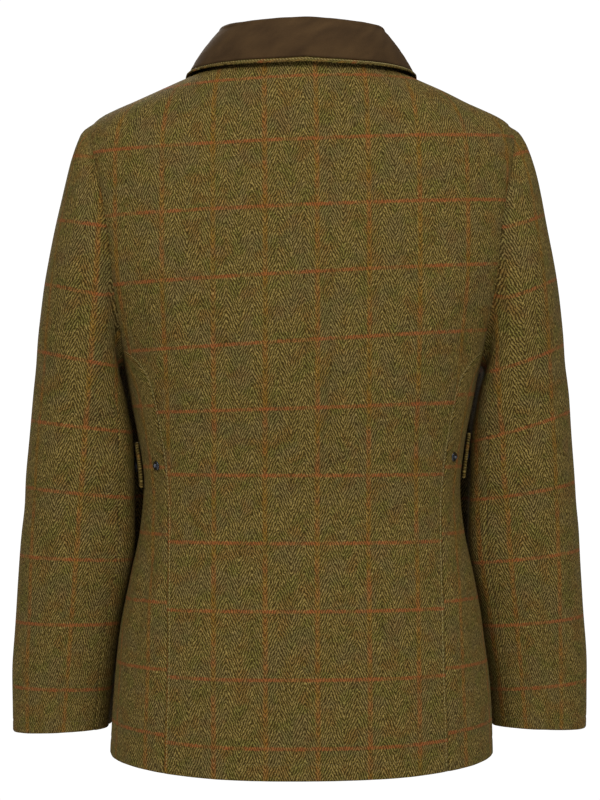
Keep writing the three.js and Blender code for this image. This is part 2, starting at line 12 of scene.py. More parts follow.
import bmesh
import bpy
import numpy as np
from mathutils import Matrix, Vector

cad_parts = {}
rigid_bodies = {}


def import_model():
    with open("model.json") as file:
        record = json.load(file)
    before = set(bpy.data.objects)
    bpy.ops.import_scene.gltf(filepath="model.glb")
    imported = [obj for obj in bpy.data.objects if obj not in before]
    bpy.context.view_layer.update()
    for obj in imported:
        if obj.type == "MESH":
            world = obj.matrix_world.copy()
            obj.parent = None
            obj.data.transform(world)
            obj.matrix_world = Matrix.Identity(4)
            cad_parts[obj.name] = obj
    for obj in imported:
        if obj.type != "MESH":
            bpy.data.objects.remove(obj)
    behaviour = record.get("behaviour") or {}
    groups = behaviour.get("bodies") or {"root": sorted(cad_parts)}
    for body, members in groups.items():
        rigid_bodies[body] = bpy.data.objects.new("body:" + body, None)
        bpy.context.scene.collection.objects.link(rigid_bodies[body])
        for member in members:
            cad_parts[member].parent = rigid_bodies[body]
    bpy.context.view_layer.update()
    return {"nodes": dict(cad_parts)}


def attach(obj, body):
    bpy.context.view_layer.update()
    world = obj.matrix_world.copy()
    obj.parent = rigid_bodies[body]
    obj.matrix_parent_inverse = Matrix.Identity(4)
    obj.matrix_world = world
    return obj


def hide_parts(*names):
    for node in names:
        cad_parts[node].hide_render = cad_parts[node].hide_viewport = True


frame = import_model()
MM = 0.001
SIDES = ((1, "left"), (-1, "right"))
print("pieces in the rigid model:", len(frame["nodes"]))

# %% [markdown]
# The sizes of the cloth and of its checks.
# The tweed is a herringbone: narrow columns whose twill leans left and right in turn. Over it runs an
# overcheck of thin red and amber lines, four herringbone columns apart.

# %% Sizes of the cloth
WALL = 2.4
LAYER = 1.6
SEAM_GAP = 0.3
CHECK_WIDTH = 53.8
CHECK_HEIGHT = 70.0
COLUMN_WIDTH = CHECK_WIDTH / 4
TWILL_PITCH = 2.65
TWILL_SLOPE = 2.3

# %% [markdown]
# The form of the body.
# A tailor would call these the jacket's measures: how wide and how deep it is at each height. One row is
# one section. A section is a soft oval whose back and front may lie lower than its sides, as they do
# where the shoulders slope. A smooth curve runs through each column of the table, so any height has its
# own section.

# %% Sections of the body
BODY_NAMES = ("side_z", "width", "back", "back_z", "front", "front_z", "square")
BODY = [
    (-738, 205, 133, -750.5, 140, -744, 2.35),
    (-700, 203.5, 130.5, -707, 139, -703, 2.35),
    (-650, 200, 126, -652, 137, -650, 2.35),
    (-600, 194, 121, -600, 135, -600, 2.35),
    (-550, 184.5, 115, -550, 131, -550, 2.35),
    (-500, 174, 111, -500, 128, -500, 2.3),
    (-455, 170, 110, -455, 127, -455, 2.3),
    (-410, 174.5, 113, -410, 130, -410, 2.3),
    (-360, 184, 118, -360, 135, -360, 2.35),
    (-325, 191, 120, -327, 138, -328, 2.4),
    (-283, 206, 120.5, -291, 139, -291, 2.4),
    (-240, 224, 120, -254, 137, -256, 2.4),
    (-194, 236, 117.5, -214, 131, -219, 2.4),
    (-150, 240, 114, -176, 125, -185, 2.4),
    (-110, 238, 109.5, -142, 118, -158, 2.4),
    (-80, 232, 105.5, -118, 113, -140, 2.35),
    (-63, 221, 103, -104, 110, -130, 2.3),
    (-40, 176, 97, -70, 104, -112, 2.2),
    (-20, 132, 88, -35, 98, -94, 2.1),
    (0, 84, 73, 0, 90, -75, 2),
]
ROW_DIP = 1.5
HEM_Z = -738
UNDERARM_Z = -325
SHOULDER_Z = -63


def curve(names, table, place, column):
    """A smooth curve through one column of a table, with no overshoot between its rows."""
    rows = sorted(table, key=lambda row: row[names.index(place)])
    x = np.array([row[names.index(place)] for row in rows], float)
    y = np.array([row[names.index(column)] for row in rows], float)
    step = np.diff(x)
    slope = np.diff(y) / step
    before = 2 * step[1:] + step[:-1]
    after = step[1:] + 2 * step[:-1]
    turns = slope[:-1] * slope[1:] <= 0
    safe = np.where(turns, 1.0, slope[:-1]), np.where(turns, 1.0, slope[1:])
    inner = np.where(turns, 0.0, (before + after) / (before / safe[0] + after / safe[1]))
    tangent = np.concatenate([slope[:1], inner, slope[-1:]])

    def at(value):
        held = np.clip(value, x[0], x[-1])
        i = np.clip(np.searchsorted(x, held, side="right") - 1, 0, len(step) - 1)
        t = (held - x[i]) / step[i]
        rise = y[i] * (1 + 2 * t) * (1 - t) ** 2 + y[i + 1] * t * t * (3 - 2 * t)
        bend = tangent[i] * t * (1 - t) ** 2 + tangent[i + 1] * t * t * (t - 1)
        return rise + step[i] * bend

    return at


body = {name: curve(BODY_NAMES, BODY, "side_z", name) for name in BODY_NAMES[1:]}


def signed_power(value, power):
    return np.sign(value) * np.abs(value) ** power


def plain_body(z, deg):
    """The body's outer face without folds: deg is 0 at the left side and 90 at the centre back."""
    z, deg = np.broadcast_arrays(np.asarray(z, float), np.asarray(deg, float))
    c, s = np.cos(np.radians(deg)), np.sin(np.radians(deg))
    power = 2 / body["square"](z)
    behind = s >= 0
    depth = np.where(behind, body["back"](z), body["front"](z))
    far = np.where(behind, body["back_z"](z), body["front_z"](z))
    x = body["width"](z) * signed_power(c, power)
    y = depth * signed_power(s, power)
    return np.stack([x, y, z + (far - z) * np.abs(s) ** ROW_DIP], axis=-1)


def unit(vectors):
    length = np.linalg.norm(vectors, axis=-1, keepdims=True)
    return vectors / np.maximum(length, 1e-9)


def normal_of(surface, a, b, step_a, step_b):
    along_a = surface(a + step_a, b) - surface(a - step_a, b)
    along_b = surface(a, b + step_b) - surface(a, b - step_b)
    return unit(np.cross(along_b, along_a))


def body_normal(z, deg):
    return normal_of(plain_body, np.asarray(z, float), np.asarray(deg, float), 1.5, 0.8)


print("half widths at the waist and hem:", body["width"](-455.0), body["width"](-738.0))

# %% [markdown]
# Soft folds of the body.
# Tweed is thick and springy, so it makes a few wide, shallow folds and no sharp ones. The large ones are
# in the rigid model too. The smaller ones are only here: drag lines that run from the armholes, a slack
# above the waist tabs and faint ripples above the hem, no two alike.

# %% Folds of the body
FOLD_NAMES = ("deg", "z", "across", "along", "lean", "rise")
LARGE_FOLDS = [
    (52, -250, 7, 60, -0.02, 2.2),
    (127, -255, 7, 60, 0.02, 2.4),
    (60, -395, 9, 26, 0.12, -2.2),
    (122, -405, 9, 26, -0.12, -1.8),
    (68, -690, 8, 90, 0.01, 2.4),
    (113, -700, 9, 90, -0.01, 2.2),
    (27, -565, 4.5, 85, 0, -3),
    (155, -600, 5, 80, 0, -2),
    (-45, -300, 10, 60, 0.02, 2.5),
    (-135, -300, 10, 60, -0.02, 2.5),
    (-50, -700, 9, 90, 0, 2.5),
    (-130, -690, 9, 90, 0, 2.5),
]
SMALL_FOLDS = [
    (33, -300, 2.2, 45, 0.07, -1.1),
    (38, -330, 2.6, 40, 0.1, 0.9),
    (46, -345, 2.4, 34, 0.16, -0.8),
    (146, -305, 2.4, 42, -0.07, -1.2),
    (140, -335, 2.5, 38, -0.11, 0.9),
    (131, -352, 2.6, 30, -0.15, -0.7),
    (24, -450, 3.5, 22, 0.1, -1.3),
    (30, -476, 3, 26, 0.05, 0.9),
    (156, -445, 3.5, 24, -0.1, -1.3),
    (150, -478, 3, 24, -0.06, 0.8),
    (84, -470, 5, 18, 0.25, -0.7),
    (97, -430, 5, 16, -0.3, -0.6),
    (76, -120, 4, 40, 0.02, -0.8),
    (104, -130, 4, 44, -0.02, -0.8),
    (90, -60, 9, 12, 0, -0.7),
    (83, -640, 3, 60, 0.01, -0.8),
    (97, -665, 3, 55, -0.01, -0.8),
    (42, -650, 3, 70, 0, 1),
    (138, -640, 3, 66, 0, 1),
    (-36, -340, 3, 50, -0.08, -1.3),
    (-144, -345, 3, 48, 0.08, -1.3),
    (-60, -460, 6, 20, -0.2, -1),
    (-118, -450, 6, 20, 0.2, -1),
    (-72, -640, 3, 60, 0, -1),
    (-105, -650, 3, 60, 0, -1),
]


def body_fold(z, deg):
    """How far the folds lift the cloth at each point."""
    turned = np.where(deg > 200, deg - 360, deg)
    total = np.zeros(np.broadcast(z, deg).shape)
    for fold in LARGE_FOLDS + SMALL_FOLDS:
        at = dict(zip(FOLD_NAMES, fold))
        across = (turned - at["deg"] - at["lean"] * (z - at["z"])) / at["across"]
        along = (z - at["z"]) / at["along"]
        total = total + at["rise"] * np.exp(-across * across - along * along)
    return total


def body_face(z, deg, lift=0.0):
    rise = body_fold(np.asarray(z, float), np.asarray(deg, float)) + lift
    return plain_body(z, deg) + body_normal(z, deg) * rise[..., None]


def deg_from_x(z, x):
    share = np.clip(x / body["width"](z), -1, 1)
    return np.degrees(np.arccos(signed_power(share, body["square"](z) / 2)))


def deg_from_y(z, y):
    depth = np.where(y >= 0, body["back"](z), body["front"](z))
    return np.degrees(np.arcsin(signed_power(np.clip(y / depth, -1, 1), body["square"](z) / 2)))


print("folds in the body:", len(LARGE_FOLDS), "large,", len(SMALL_FOLDS), "small")

# %% [markdown]
# Armholes and sleeves.
# An armhole is an oval when it is seen from the side. The sleeve starts on that oval and gives way to
# plain ovals further down. Each sleeve is set in from two pieces, a wide top sleeve and a narrow under
# sleeve that faces the body. The elbow has the largest folds. In front of the side line the sleeve comes
# in towards the body, as it does where an arm hangs, so no daylight shows between them from behind. Here
# it is a few millimetres fuller beside the body than the rigid model, so only a narrow dark gap is left.

# %% Armhole and sleeve
ARMHOLE_BACK = 70
ARMHOLE_FRONT = 65
PRINCESS_TOP = -60
SLEEVE_NAMES = ("along", "in_x", "in_z", "out_x", "out_z", "mid_y", "depth", "close")
SLEEVE = [
    (0, 193, -325, 221, -63, 0, 68, 0),
    (0.03, 196, -330, 235, -76, 0, 70, 0),
    (0.068, 198, -334, 244.5, -98, 0, 72, 3),
    (0.1, 198, -338, 251, -120, 0, 73, 8),
    (0.17, 196.5, -346, 261, -163.5, 0, 73, 15),
    (0.23, 194.5, -356, 270, -207, -1, 72, 18),
    (0.3, 192, -372, 277.5, -250, -3, 70, 21),
    (0.39, 187.5, -402, 285, -315, -6, 67, 27),
    (0.52, 186, -450, 292.5, -404, -9, 64, 33),
    (0.64, 185, -510, 300, -489, -14, 61, 31),
    (0.77, 195, -584, 306, -574, -20, 56, 23),
    (0.9, 204, -658, 312, -659, -26, 49, 21),
    (1, 210, -714, 311.5, -718, -30, 43, 18),
]
SLEEVE_SQUARE = 2.15
CLOSE_TURN = 217
CLOSE_REACH = 52
FULL_NAMES = ("along", "full")
FULL = [
    (0.03, 0),
    (0.068, 2),
    (0.1, 4),
    (0.17, 6),
    (0.3, 8),
    (0.5, 9),
    (0.64, 9),
    (0.77, 5.5),
    (0.9, 3),
    (1, 3),
]
FULL_TURN = 295
FULL_REACH = 48
SLEEVE_HEAD = 0.2
HIND_SEAM = -45
FORE_SEAM = 210
SLEEVE_FOLD_NAMES = ("along", "turn", "reach", "across", "lean", "rise")
SLEEVE_FOLDS = [
    (0.2, -25, 0.07, 26, 90, 2.4),
    (0.44, -20, 0.035, 42, 120, -2.6),
    (0.52, -30, 0.03, 46, 100, 2.2),
    (0.6, -25, 0.035, 42, 60, -2.4),
    (0.5, 200, 0.035, 40, -80, -2.8),
    (0.58, 205, 0.035, 40, -60, 2.2),
    (0.8, 20, 0.09, 30, 0, -1.6),
    (0.31, 5, 0.018, 30, 160, -0.9),
    (0.36, -12, 0.02, 34, 140, 0.8),
    (0.68, 12, 0.016, 30, 90, -0.9),
    (0.73, -5, 0.02, 36, 40, 0.8),
    (0.4, 70, 0.03, 30, 60, -1),
    (0.62, 95, 0.03, 34, 40, -1),
    (0.88, -30, 0.03, 26, 0, -0.9),
    (0.12, 45, 0.05, 18, 0, -1),
    (0.13, 128, 0.05, 18, 0, -1),
]
sleeve = {name: curve(SLEEVE_NAMES, SLEEVE, "along", name) for name in SLEEVE_NAMES[1:]}
sleeve["full"] = curve(FULL_NAMES, FULL, "along", "full")


def smooth_step(low, high, value):
    t = np.clip((value - low) / (high - low), 0, 1)
    return t * t * (3 - 2 * t)


def armhole_z(turn):
    middle, half = (UNDERARM_Z + SHOULDER_Z) / 2, (SHOULDER_Z - UNDERARM_Z) / 2
    return middle + half * np.sin(np.radians(turn))


def armhole_deg(turn):
    across = np.cos(np.radians(turn))
    reach = np.where(across >= 0, ARMHOLE_BACK, ARMHOLE_FRONT) * across
    return deg_from_y(armhole_z(turn), reach)


def sleeve_oval(along, turn):
    c, s = np.cos(np.radians(turn)), np.sin(np.radians(turn))
    power = 2 / SLEEVE_SQUARE
    half = signed_power(s, power) / 2
    x = (sleeve["in_x"](along) + sleeve["out_x"](along)) / 2
    x = x + (sleeve["out_x"](along) - sleeve["in_x"](along)) * half
    z = (sleeve["in_z"](along) + sleeve["out_z"](along)) / 2
    z = z + (sleeve["out_z"](along) - sleeve["in_z"](along)) * half
    y = sleeve["mid_y"](along) + sleeve["depth"](along) * signed_power(c, power)
    round_turn = np.where(turn < 0, turn + 360, turn)
    for name, middle, reach in (("close", CLOSE_TURN, CLOSE_REACH), ("full", FULL_TURN, FULL_REACH)):
        away = np.minimum(np.abs(round_turn - middle) / reach, 1)
        x = x - sleeve[name](along) * np.cos(away * np.pi / 2) ** 2
    return np.stack(np.broadcast_arrays(x, y, z), axis=-1)


def plain_sleeve(along, turn):
    along, turn = np.broadcast_arrays(np.asarray(along, float), np.asarray(turn, float))
    held = (1 - smooth_step(0, SLEEVE_HEAD, along))[..., None]
    corner = body_face(armhole_z(turn), armhole_deg(turn))
    return sleeve_oval(along, turn) + held * (corner - sleeve_oval(0.0 * along, turn))


def sleeve_normal(along, turn):
    return normal_of(plain_sleeve, np.maximum(along, 0.004), np.asarray(turn, float), 0.004, 2)


def sleeve_fold(along, turn):
    total = np.zeros(np.broadcast(along, turn).shape)
    for fold in SLEEVE_FOLDS:
        at = dict(zip(SLEEVE_FOLD_NAMES, fold))
        across = (turn - at["turn"] - at["lean"] * (along - at["along"])) / at["across"]
        reach = (along - at["along"]) / at["reach"]
        total = total + at["rise"] * np.exp(-across * across - reach * reach)
    return total


def seam_way(turn):
    """The direction in which both pieces of an armhole seam stand at it."""
    of_body = body_normal(armhole_z(turn), armhole_deg(turn))
    return unit(of_body + sleeve_normal(0.0 * turn, turn))


print("underarm and shoulder points:", armhole_z(-90.0), armhole_z(90.0))

# %% [markdown]
# Seams, edges and ripples.
# At a seam both pieces roll in, so the eye sees a fine groove. A row of topstitching presses a second,
# softer groove beside it and leaves a low ridge between the two, and the thread pulls the cloth into
# small uneven puckers. A folded edge such as a hem is rounded. These forms are mostly tenths of a
# millimetre high, but they are what makes flat shapes look sewn. The seam of an armhole is deeper,
# because the edge of the sleeve goes in under the edge of the body.

# %% Relief beside the seams
ROLL_DEPTH, ROLL_WIDTH = 1.1, 1.5
STITCH_IN = 3.2
HEM_STITCH = 17.0
CUFF_STITCH = 12.0
TOP_ROW_SINK, TOP_ROW_WIDTH = 0.45, 1.0
RIDGE_RISE, RIDGE_WIDTH = 0.3, 1.1
PUCKER, PUCKER_PITCH, PUCKER_REACH = 0.28, 13.0, 7
ROUND_DEPTH, ROUND_WIDTH = 0.9, 0.9
EDGE_ROW_SINK, EDGE_ROW_WIDTH = 0.4, 1.4
EDGE_WAVE, EDGE_WAVE_PITCH, EDGE_WAVE_REACH = 0.35, 29.0, 16
SLACK = 0.35
BODY_SINK, BODY_SOFT = 1.4, 3.5
SLEEVE_SINK, SLEEVE_SOFT = 3.6, 5.0
ARMHOLE_REACH = 12
CLOSE = np.array([0, 0.5, 1, 1.6, 2.3, 3.2, 4.1, 5.4, 7.2, 10])
STEP = 4.2


def run_along(points, axis):
    """The distance travelled along a grid's rows or columns, from its first point."""
    steps = np.linalg.norm(np.diff(points, axis=axis), axis=-1)
    start = np.zeros_like(np.take(steps, [0], axis=axis))
    return np.concatenate([start, np.cumsum(steps, axis=axis)], axis=axis)


def uneven_wave(distance, pitch, seed):
    """A wave that never quite repeats, from three sines."""
    turns = 2 * np.pi * distance / pitch
    return (
        np.sin(turns + seed) * 0.5
        + np.sin(turns * 0.618 + seed * 2.3) * 0.35
        + np.sin(turns * 1.73 + seed * 4.1) * 0.25
    )


def shoulder_ease(turn):
    """1 down the armhole, and little at the shoulder point, where the seam is pressed flat."""
    return 0.12 + 0.88 * smooth_step(25, 62, np.abs(turn - 90))


def armhole_relief(points, normal, way, away, relief, soft, sink):
    """Sinks the edge of an armhole, where the sleeve goes under the body."""
    near = np.exp(-((away / soft) ** 2))[..., None]
    turned = unit(normal * (1 - near) + way * near)
    sunk = relief * (1 - near[..., 0]) - sink * near[..., 0]
    return points + turned * sunk[..., None]


def body_points(plain, normal, relief, turn, beside, edges):
    """The cloth of a body piece: its relief, and its edges where they meet a sleeve."""
    points = plain + normal * relief[..., None]
    way = seam_way(turn)[:, None]
    sink = BODY_SINK * shoulder_ease(turn)[:, None]
    for away, side in edges:
        turned = way * np.array([side, 1, 1])
        sunk = armhole_relief(plain, normal, turned, away, relief, BODY_SOFT, sink)
        points = np.where((beside[:, None] & (away < ARMHOLE_REACH))[..., None], sunk, points)
    return points


def seam_relief(away, along, stitched, seed):
    """The height of the cloth at a distance away from a seam."""
    rise = -ROLL_DEPTH * np.exp(-((away / ROLL_WIDTH) ** 2))
    wave = PUCKER * uneven_wave(along, PUCKER_PITCH, seed)
    rise = rise + wave * np.exp(-away / PUCKER_REACH) * (away > 0.4)
    if stitched:
        rise = rise - TOP_ROW_SINK * np.exp(-(((away - stitched) / TOP_ROW_WIDTH) ** 2))
        rise = rise + RIDGE_RISE * np.exp(-(((away - stitched * 0.5) / RIDGE_WIDTH) ** 2))
    return rise


def edge_relief(away, stitched, along, seed):
    """The rounding of a folded edge, and the row of stitches above it."""
    rise = -ROUND_DEPTH * np.exp(-((away / ROUND_WIDTH) ** 2))
    rise = rise - EDGE_ROW_SINK * np.exp(-(((away - stitched) / EDGE_ROW_WIDTH) ** 2))
    wave = EDGE_WAVE * uneven_wave(along, EDGE_WAVE_PITCH, seed)
    return rise + wave * np.exp(-away / EDGE_WAVE_REACH)


def ripple(points, seed):
    """Faint slackness all over, too low to be called a fold."""
    x, y, z = points[..., 0], points[..., 1], points[..., 2]
    wave = uneven_wave(x + 0.4 * z, 83, seed) + uneven_wave(z - 0.3 * y, 117, seed * 1.7)
    return SLACK * wave


def graded(width, step):
    """Shares across a piece of this width, close together near its edges."""
    tail = width - CLOSE[::-1]
    count = max(2, int((tail[0] - CLOSE[-1]) / step))
    middle = np.linspace(CLOSE[-1], tail[0], count + 1)[1:-1]
    return np.concatenate([CLOSE, middle, tail]) / width


print("close rows of points beside a seam:", len(CLOSE))

# %% [markdown]
# From points to cloth.
# Each piece is a grid of points on its outer face, so a mesh needs nothing more than four-sided faces
# between neighbouring points. The Solidify modifier gives it its thickness inwards. A second pair of
# numbers, kept as the piece's UV map, says where each point was on the flat cloth, in metres: across the
# cloth and up it. The weave reads that map, so it follows the cloth's grain and not the room.

# %% Make a sheet of cloth from a grid
made = {}


def new_object(name, data):
    """An object in the scene, for a mesh, a lamp or a camera."""
    obj = bpy.data.objects.new(name, data)
    bpy.context.scene.collection.objects.link(obj)
    return obj


def grid_object(name, points, cloth, outward, material):
    """A mesh object from a grid of points, faces turned to the given outward directions."""
    rows, columns = points.shape[:2]
    index = np.arange(rows * columns).reshape(rows, columns)
    quads = np.stack(
        [index[:-1, :-1], index[:-1, 1:], index[1:, 1:], index[1:, :-1]], axis=-1
    ).reshape(-1, 4)
    flat = points.reshape(-1, 3)
    crossed = np.cross(
        flat[quads[:, 2]] - flat[quads[:, 0]],
        flat[quads[:, 3]] - flat[quads[:, 1]],
    )
    facing = (crossed * outward.reshape(-1, 3)[quads[:, 0]]).sum()
    if facing < 0:
        quads = quads[:, ::-1]
    mesh = bpy.data.meshes.new(name)
    mesh.from_pydata((flat * MM).tolist(), [], quads.tolist())
    layer = mesh.uv_layers.new(name="cloth")
    corner = np.empty(len(mesh.loops), int)
    mesh.loops.foreach_get("vertex_index", corner)
    layer.data.foreach_set("uv", (cloth.reshape(-1, 2)[corner] * MM).ravel())
    mesh.polygons.foreach_set("use_smooth", [True] * len(mesh.polygons))
    mesh.materials.append(material)
    mesh.update()
    return new_object(name, mesh)


def thicken(obj, thickness):
    wall = obj.modifiers.new("thickness", "SOLIDIFY")
    wall.thickness = thickness * MM
    wall.offset = -1
    wall.use_rim = True


def finish_piece(obj, node):
    """Hangs a finished piece on the rigid model in place of its node."""
    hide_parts(node)
    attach(obj, "root")
    made[obj.name] = obj


def cloth_piece(part, word, points, places, outward, slot="tweed", thickness=WALL):
    """One cut piece. The places say where its points were on the flat cloth, across it and up it."""
    end = f"_{word}" if word else ""
    material = collar_cloth if slot == "collar_cloth" else tweed
    obj = grid_object(f"{part}_cloth{end}", points, np.stack(places, axis=-1), outward, material)
    thicken(obj, thickness)
    finish_piece(obj, part + end)


# %% [markdown]
# How the materials are built.
# A material in Blender is a small network of nodes. One helper adds a node, sets it up and joins its
# inputs, and another turns a colour as it looks on a screen into the light it stands for. The rest are
# short ways to the nodes that every material needs.

# %% Helpers for materials
def linear(hex_colour):
    parts = [int(hex_colour[i : i + 2], 16) / 255 for i in (1, 3, 5)]
    return tuple(p / 12.92 if p <= 0.04045 else ((p + 0.055) / 1.055) ** 2.4 for p in parts) + (1.0,)


def node(tree, kind, settings=None, **inputs):
    """Adds a node. An input is a number, a colour, or the output of another node."""
    made_node = tree.nodes.new(kind)
    for name, value in (settings or {}).items():
        setattr(made_node, name, value)
    for name, value in inputs.items():
        key = int(name[1:]) if name[0] == "i" and name[1:].isdigit() else name.replace("_", " ")
        socket = made_node.inputs[key]
        if isinstance(value, bpy.types.NodeSocket):
            tree.links.new(value, socket)
        else:
            socket.default_value = value
    return made_node


def sum_of(tree, operation, first, second=None, third=None):
    """One step of arithmetic in a material."""
    values = {"i0": first}
    if second is not None:
        values["i1"] = second
    if third is not None:
        values["i2"] = third
    return node(tree, "ShaderNodeMath", {"operation": operation}, **values).outputs[0]


def mixed(tree, share, first, second, blend="MIX"):
    settings = {"data_type": "RGBA", "blend_type": blend}
    mix = node(tree, "ShaderNodeMix", settings, i0=share, i6=first, i7=second)
    return mix.outputs[2]


def new_material(name):
    material = bpy.data.materials.new(name)
    material.use_nodes = True
    tree = material.node_tree
    tree.nodes.clear()
    return material, tree


def cloudy(tree, place, scale, detail=2.0, dimensions="2D"):
    """Cloudy noise from 0 to 1. A larger scale makes smaller clouds."""
    settings = {"noise_dimensions": dimensions}
    clouds = node(tree, "ShaderNodeTexNoise", settings, Vector=place, Scale=scale, Detail=detail)
    return clouds.outputs[0]


def end_material(tree, **looks):
    """The shader that every material ends with."""
    shader = node(tree, "ShaderNodeBsdfPrincipled", **looks)
    node(tree, "ShaderNodeOutputMaterial", Surface=shader.outputs[0])


# %% [markdown]
# Herringbone tweed.
# The cloth is woven from woollen yarn that was dyed before it was spun, so each thread already mixes
# moss, straw, bark and a little green. Up close the twill makes steep light and dark diagonals. A fold
# of the distance across the cloth, like a ruler bent to and fro, turns them round at every column. Red
# and amber threads replace some of the others to draw the check, and because they go under and over the
# rest, the lines look broken. Wool scatters light in its fuzz, which a little sheen stands for.

# %% Tweed
MOSS, STRAW, BARK = "#594a19", "#958048", "#261a00"
FERN, RUSSET, HEATHER = "#525c20", "#7a4f22", "#6c5f40"
RED, AMBER, LINE_RED = "#88471c", "#7c520c", "#8a4624"
UPRIGHT_HALF, LEVEL_HALF = 2.5, 1.8


def tweed_material(name):
    material, tree = new_material(name)
    place = node(tree, "ShaderNodeUVMap", {"uv_map": "cloth"})
    parts = node(tree, "ShaderNodeSeparateXYZ", Vector=place.outputs[0])
    across = sum_of(tree, "MULTIPLY", parts.outputs[0], 1000.0)
    up = sum_of(tree, "MULTIPLY", parts.outputs[1], 1000.0)

    def noise(scale, detail=2.0, vector=place.outputs[0]):
        return cloudy(tree, vector, scale, detail)

    def ranged(value, low, high, out_low=0.0, out_high=1.0):
        stretch = node(
            tree, "ShaderNodeMapRange", {"interpolation_type": "SMOOTHSTEP"},
            Value=value, i1=low, i2=high, i3=out_low, i4=out_high,
        )
        return stretch.outputs[0]

    bent = sum_of(tree, "PINGPONG", across, COLUMN_WIDTH)
    climb = sum_of(tree, "DIVIDE", up, TWILL_SLOPE)
    twill_run = sum_of(tree, "DIVIDE", sum_of(tree, "SUBTRACT", climb, bent), TWILL_PITCH)
    sway = ranged(noise(110.0), 0.3, 0.7, -0.22, 0.22)
    bend = sum_of(tree, "ADD", sway, ranged(noise(420.0), 0.3, 0.7, -0.14, 0.14))
    phase = sum_of(tree, "MULTIPLY", sum_of(tree, "ADD", twill_run, bend), 2 * math.pi)
    twill = ranged(sum_of(tree, "SINE", phase), -0.8, 0.8)

    long_yarn = node(tree, "ShaderNodeMapping", Vector=place.outputs[0], Scale=(1.0, 0.5, 1.0))
    slub = noise(700.0, 2.0, long_yarn.outputs[0])
    fleck = ranged(noise(430.0, 3.0), 0.52, 0.72)
    uneven = ranged(noise(260.0, 2.0), 0.32, 0.68, 0.66, 1.0)
    yarn = node(tree, "ShaderNodeValToRGB", Fac=slub)
    stops = yarn.color_ramp.elements
    stops[0].position, stops[0].color = 0.28, linear(MOSS)
    stops[1].position, stops[1].color = 0.70, linear(STRAW)
    base = mixed(tree, ranged(noise(52.0), 0.46, 0.68, 0.0, 0.36), yarn.outputs[0], linear(FERN))
    base = mixed(tree, ranged(noise(44.0, 3.0), 0.5, 0.7, 0.0, 0.38), base, linear(RUSSET))
    base = mixed(tree, ranged(noise(31.0), 0.48, 0.64, 0.0, 0.35), base, linear(HEATHER))
    light_share = sum_of(tree, "MULTIPLY", twill, uneven)
    dark_share = sum_of(tree, "MULTIPLY", sum_of(tree, "SUBTRACT", 1.0, light_share), 0.91)
    base = mixed(tree, dark_share, base, linear(BARK))
    base = mixed(tree, sum_of(tree, "MULTIPLY", fleck, 0.35), base, linear(BARK))

    def line_share(distance, spacing, half, strength, wear_scale):
        """1 on a line of the check and 0 off it, broken up by the twill and by wear."""
        ragged = sum_of(tree, "ADD", distance, ranged(slub, 0.3, 0.7, -0.5, 0.5))
        off = sum_of(tree, "PINGPONG", ragged, spacing / 2)
        on = ranged(off, half * 1.4, half * 0.6)
        broken = sum_of(tree, "MULTIPLY_ADD", twill, 0.7, 0.3)
        worn = ranged(noise(wear_scale), 0.3, 0.62, 0.35 * strength, strength)
        return sum_of(tree, "MULTIPLY", on, sum_of(tree, "MULTIPLY", broken, worn))

    warp_colour = mixed(tree, ranged(noise(34.0), 0.42, 0.58), linear(AMBER), linear(RED))
    upright = line_share(across, CHECK_WIDTH, UPRIGHT_HALF, 0.5, 60.0)
    base = mixed(tree, upright, base, warp_colour)
    level = line_share(up, CHECK_HEIGHT, LEVEL_HALF, 0.72, 70.0)
    base = mixed(tree, level, base, linear(LINE_RED))

    height = sum_of(tree, "MULTIPLY_ADD", slub, 0.5, sum_of(tree, "MULTIPLY", twill, 0.8))
    height = sum_of(tree, "MULTIPLY_ADD", noise(1500.0), 0.35, height)
    bump = node(tree, "ShaderNodeBump", Height=height, Strength=0.5, Distance=0.0005)
    end_material(
        tree, Base_Color=base, Roughness=0.94, Specular_IOR_Level=0.12, Normal=bump.outputs[0],
        Sheen_Weight=0.06, Sheen_Roughness=0.55, Sheen_Tint=linear("#a89058"),
    )
    return material


tweed = tweed_material("woollen_herringbone_tweed")
print("herringbone column, mm:", COLUMN_WIDTH)

# %% [markdown]
# Brushed cotton for the collar.
# The top collar is a dense brown cotton whose face was brushed to a short nap, like moleskin. It has no
# weave to see. It is matt. Fine noise paints a sheen into its colour: darker in small spots, as nap that
# lies away from the eye looks, and lighter as nap that stands. A few soft marks show where it was
# handled.

# %% Brushed cotton
# The lighter brown is the colour of the handled marks and of the painted sheen of the nap.
BROWN, BROWN_WORN_AND_SHEEN = "#291b0c", "#533e24"


def brushed_cotton():
    material, tree = new_material("brushed_brown_cotton")
    place = node(tree, "ShaderNodeUVMap", {"uv_map": "cloth"})
    marks = cloudy(tree, place.outputs[0], 45.0, 3.0)
    # Fine noise for the nap: it gives the nap's bump, and the painted sheen in the colour.
    nap_and_sheen = cloudy(tree, place.outputs[0], 1100.0)
    share = sum_of(tree, "MULTIPLY_ADD", marks, 0.7, -0.1)
    share = sum_of(tree, "MULTIPLY_ADD", nap_and_sheen, 0.5, share)
    share = sum_of(tree, "SUBTRACT", share, 0.1)
    # Painted sheen and wear: the nap noise lightens and darkens the brown in small spots, and the soft marks
    # are handling.
    colour = mixed(tree, share, linear(BROWN), linear(BROWN_WORN_AND_SHEEN))
    bump = node(tree, "ShaderNodeBump", Height=nap_and_sheen, Strength=0.35, Distance=0.0002)
    end_material(
        tree, Base_Color=colour, Roughness=0.9, Specular_IOR_Level=0.15, Normal=bump.outputs[0],
        Sheen_Weight=0.1, Sheen_Roughness=0.45, Sheen_Tint=linear("#8b6a3c"),
    )
    return material


collar_cloth = brushed_cotton()
print("cloths:", tweed.name, collar_cloth.name)

# %% [markdown]
# Gunmetal studs and sewing thread.
# The studs are pressed brass with a dark plated finish: a metal, half bright, with the plating slightly
# worn in small spots. The thread is spun polyester in a straw colour, a little shinier than the wool.

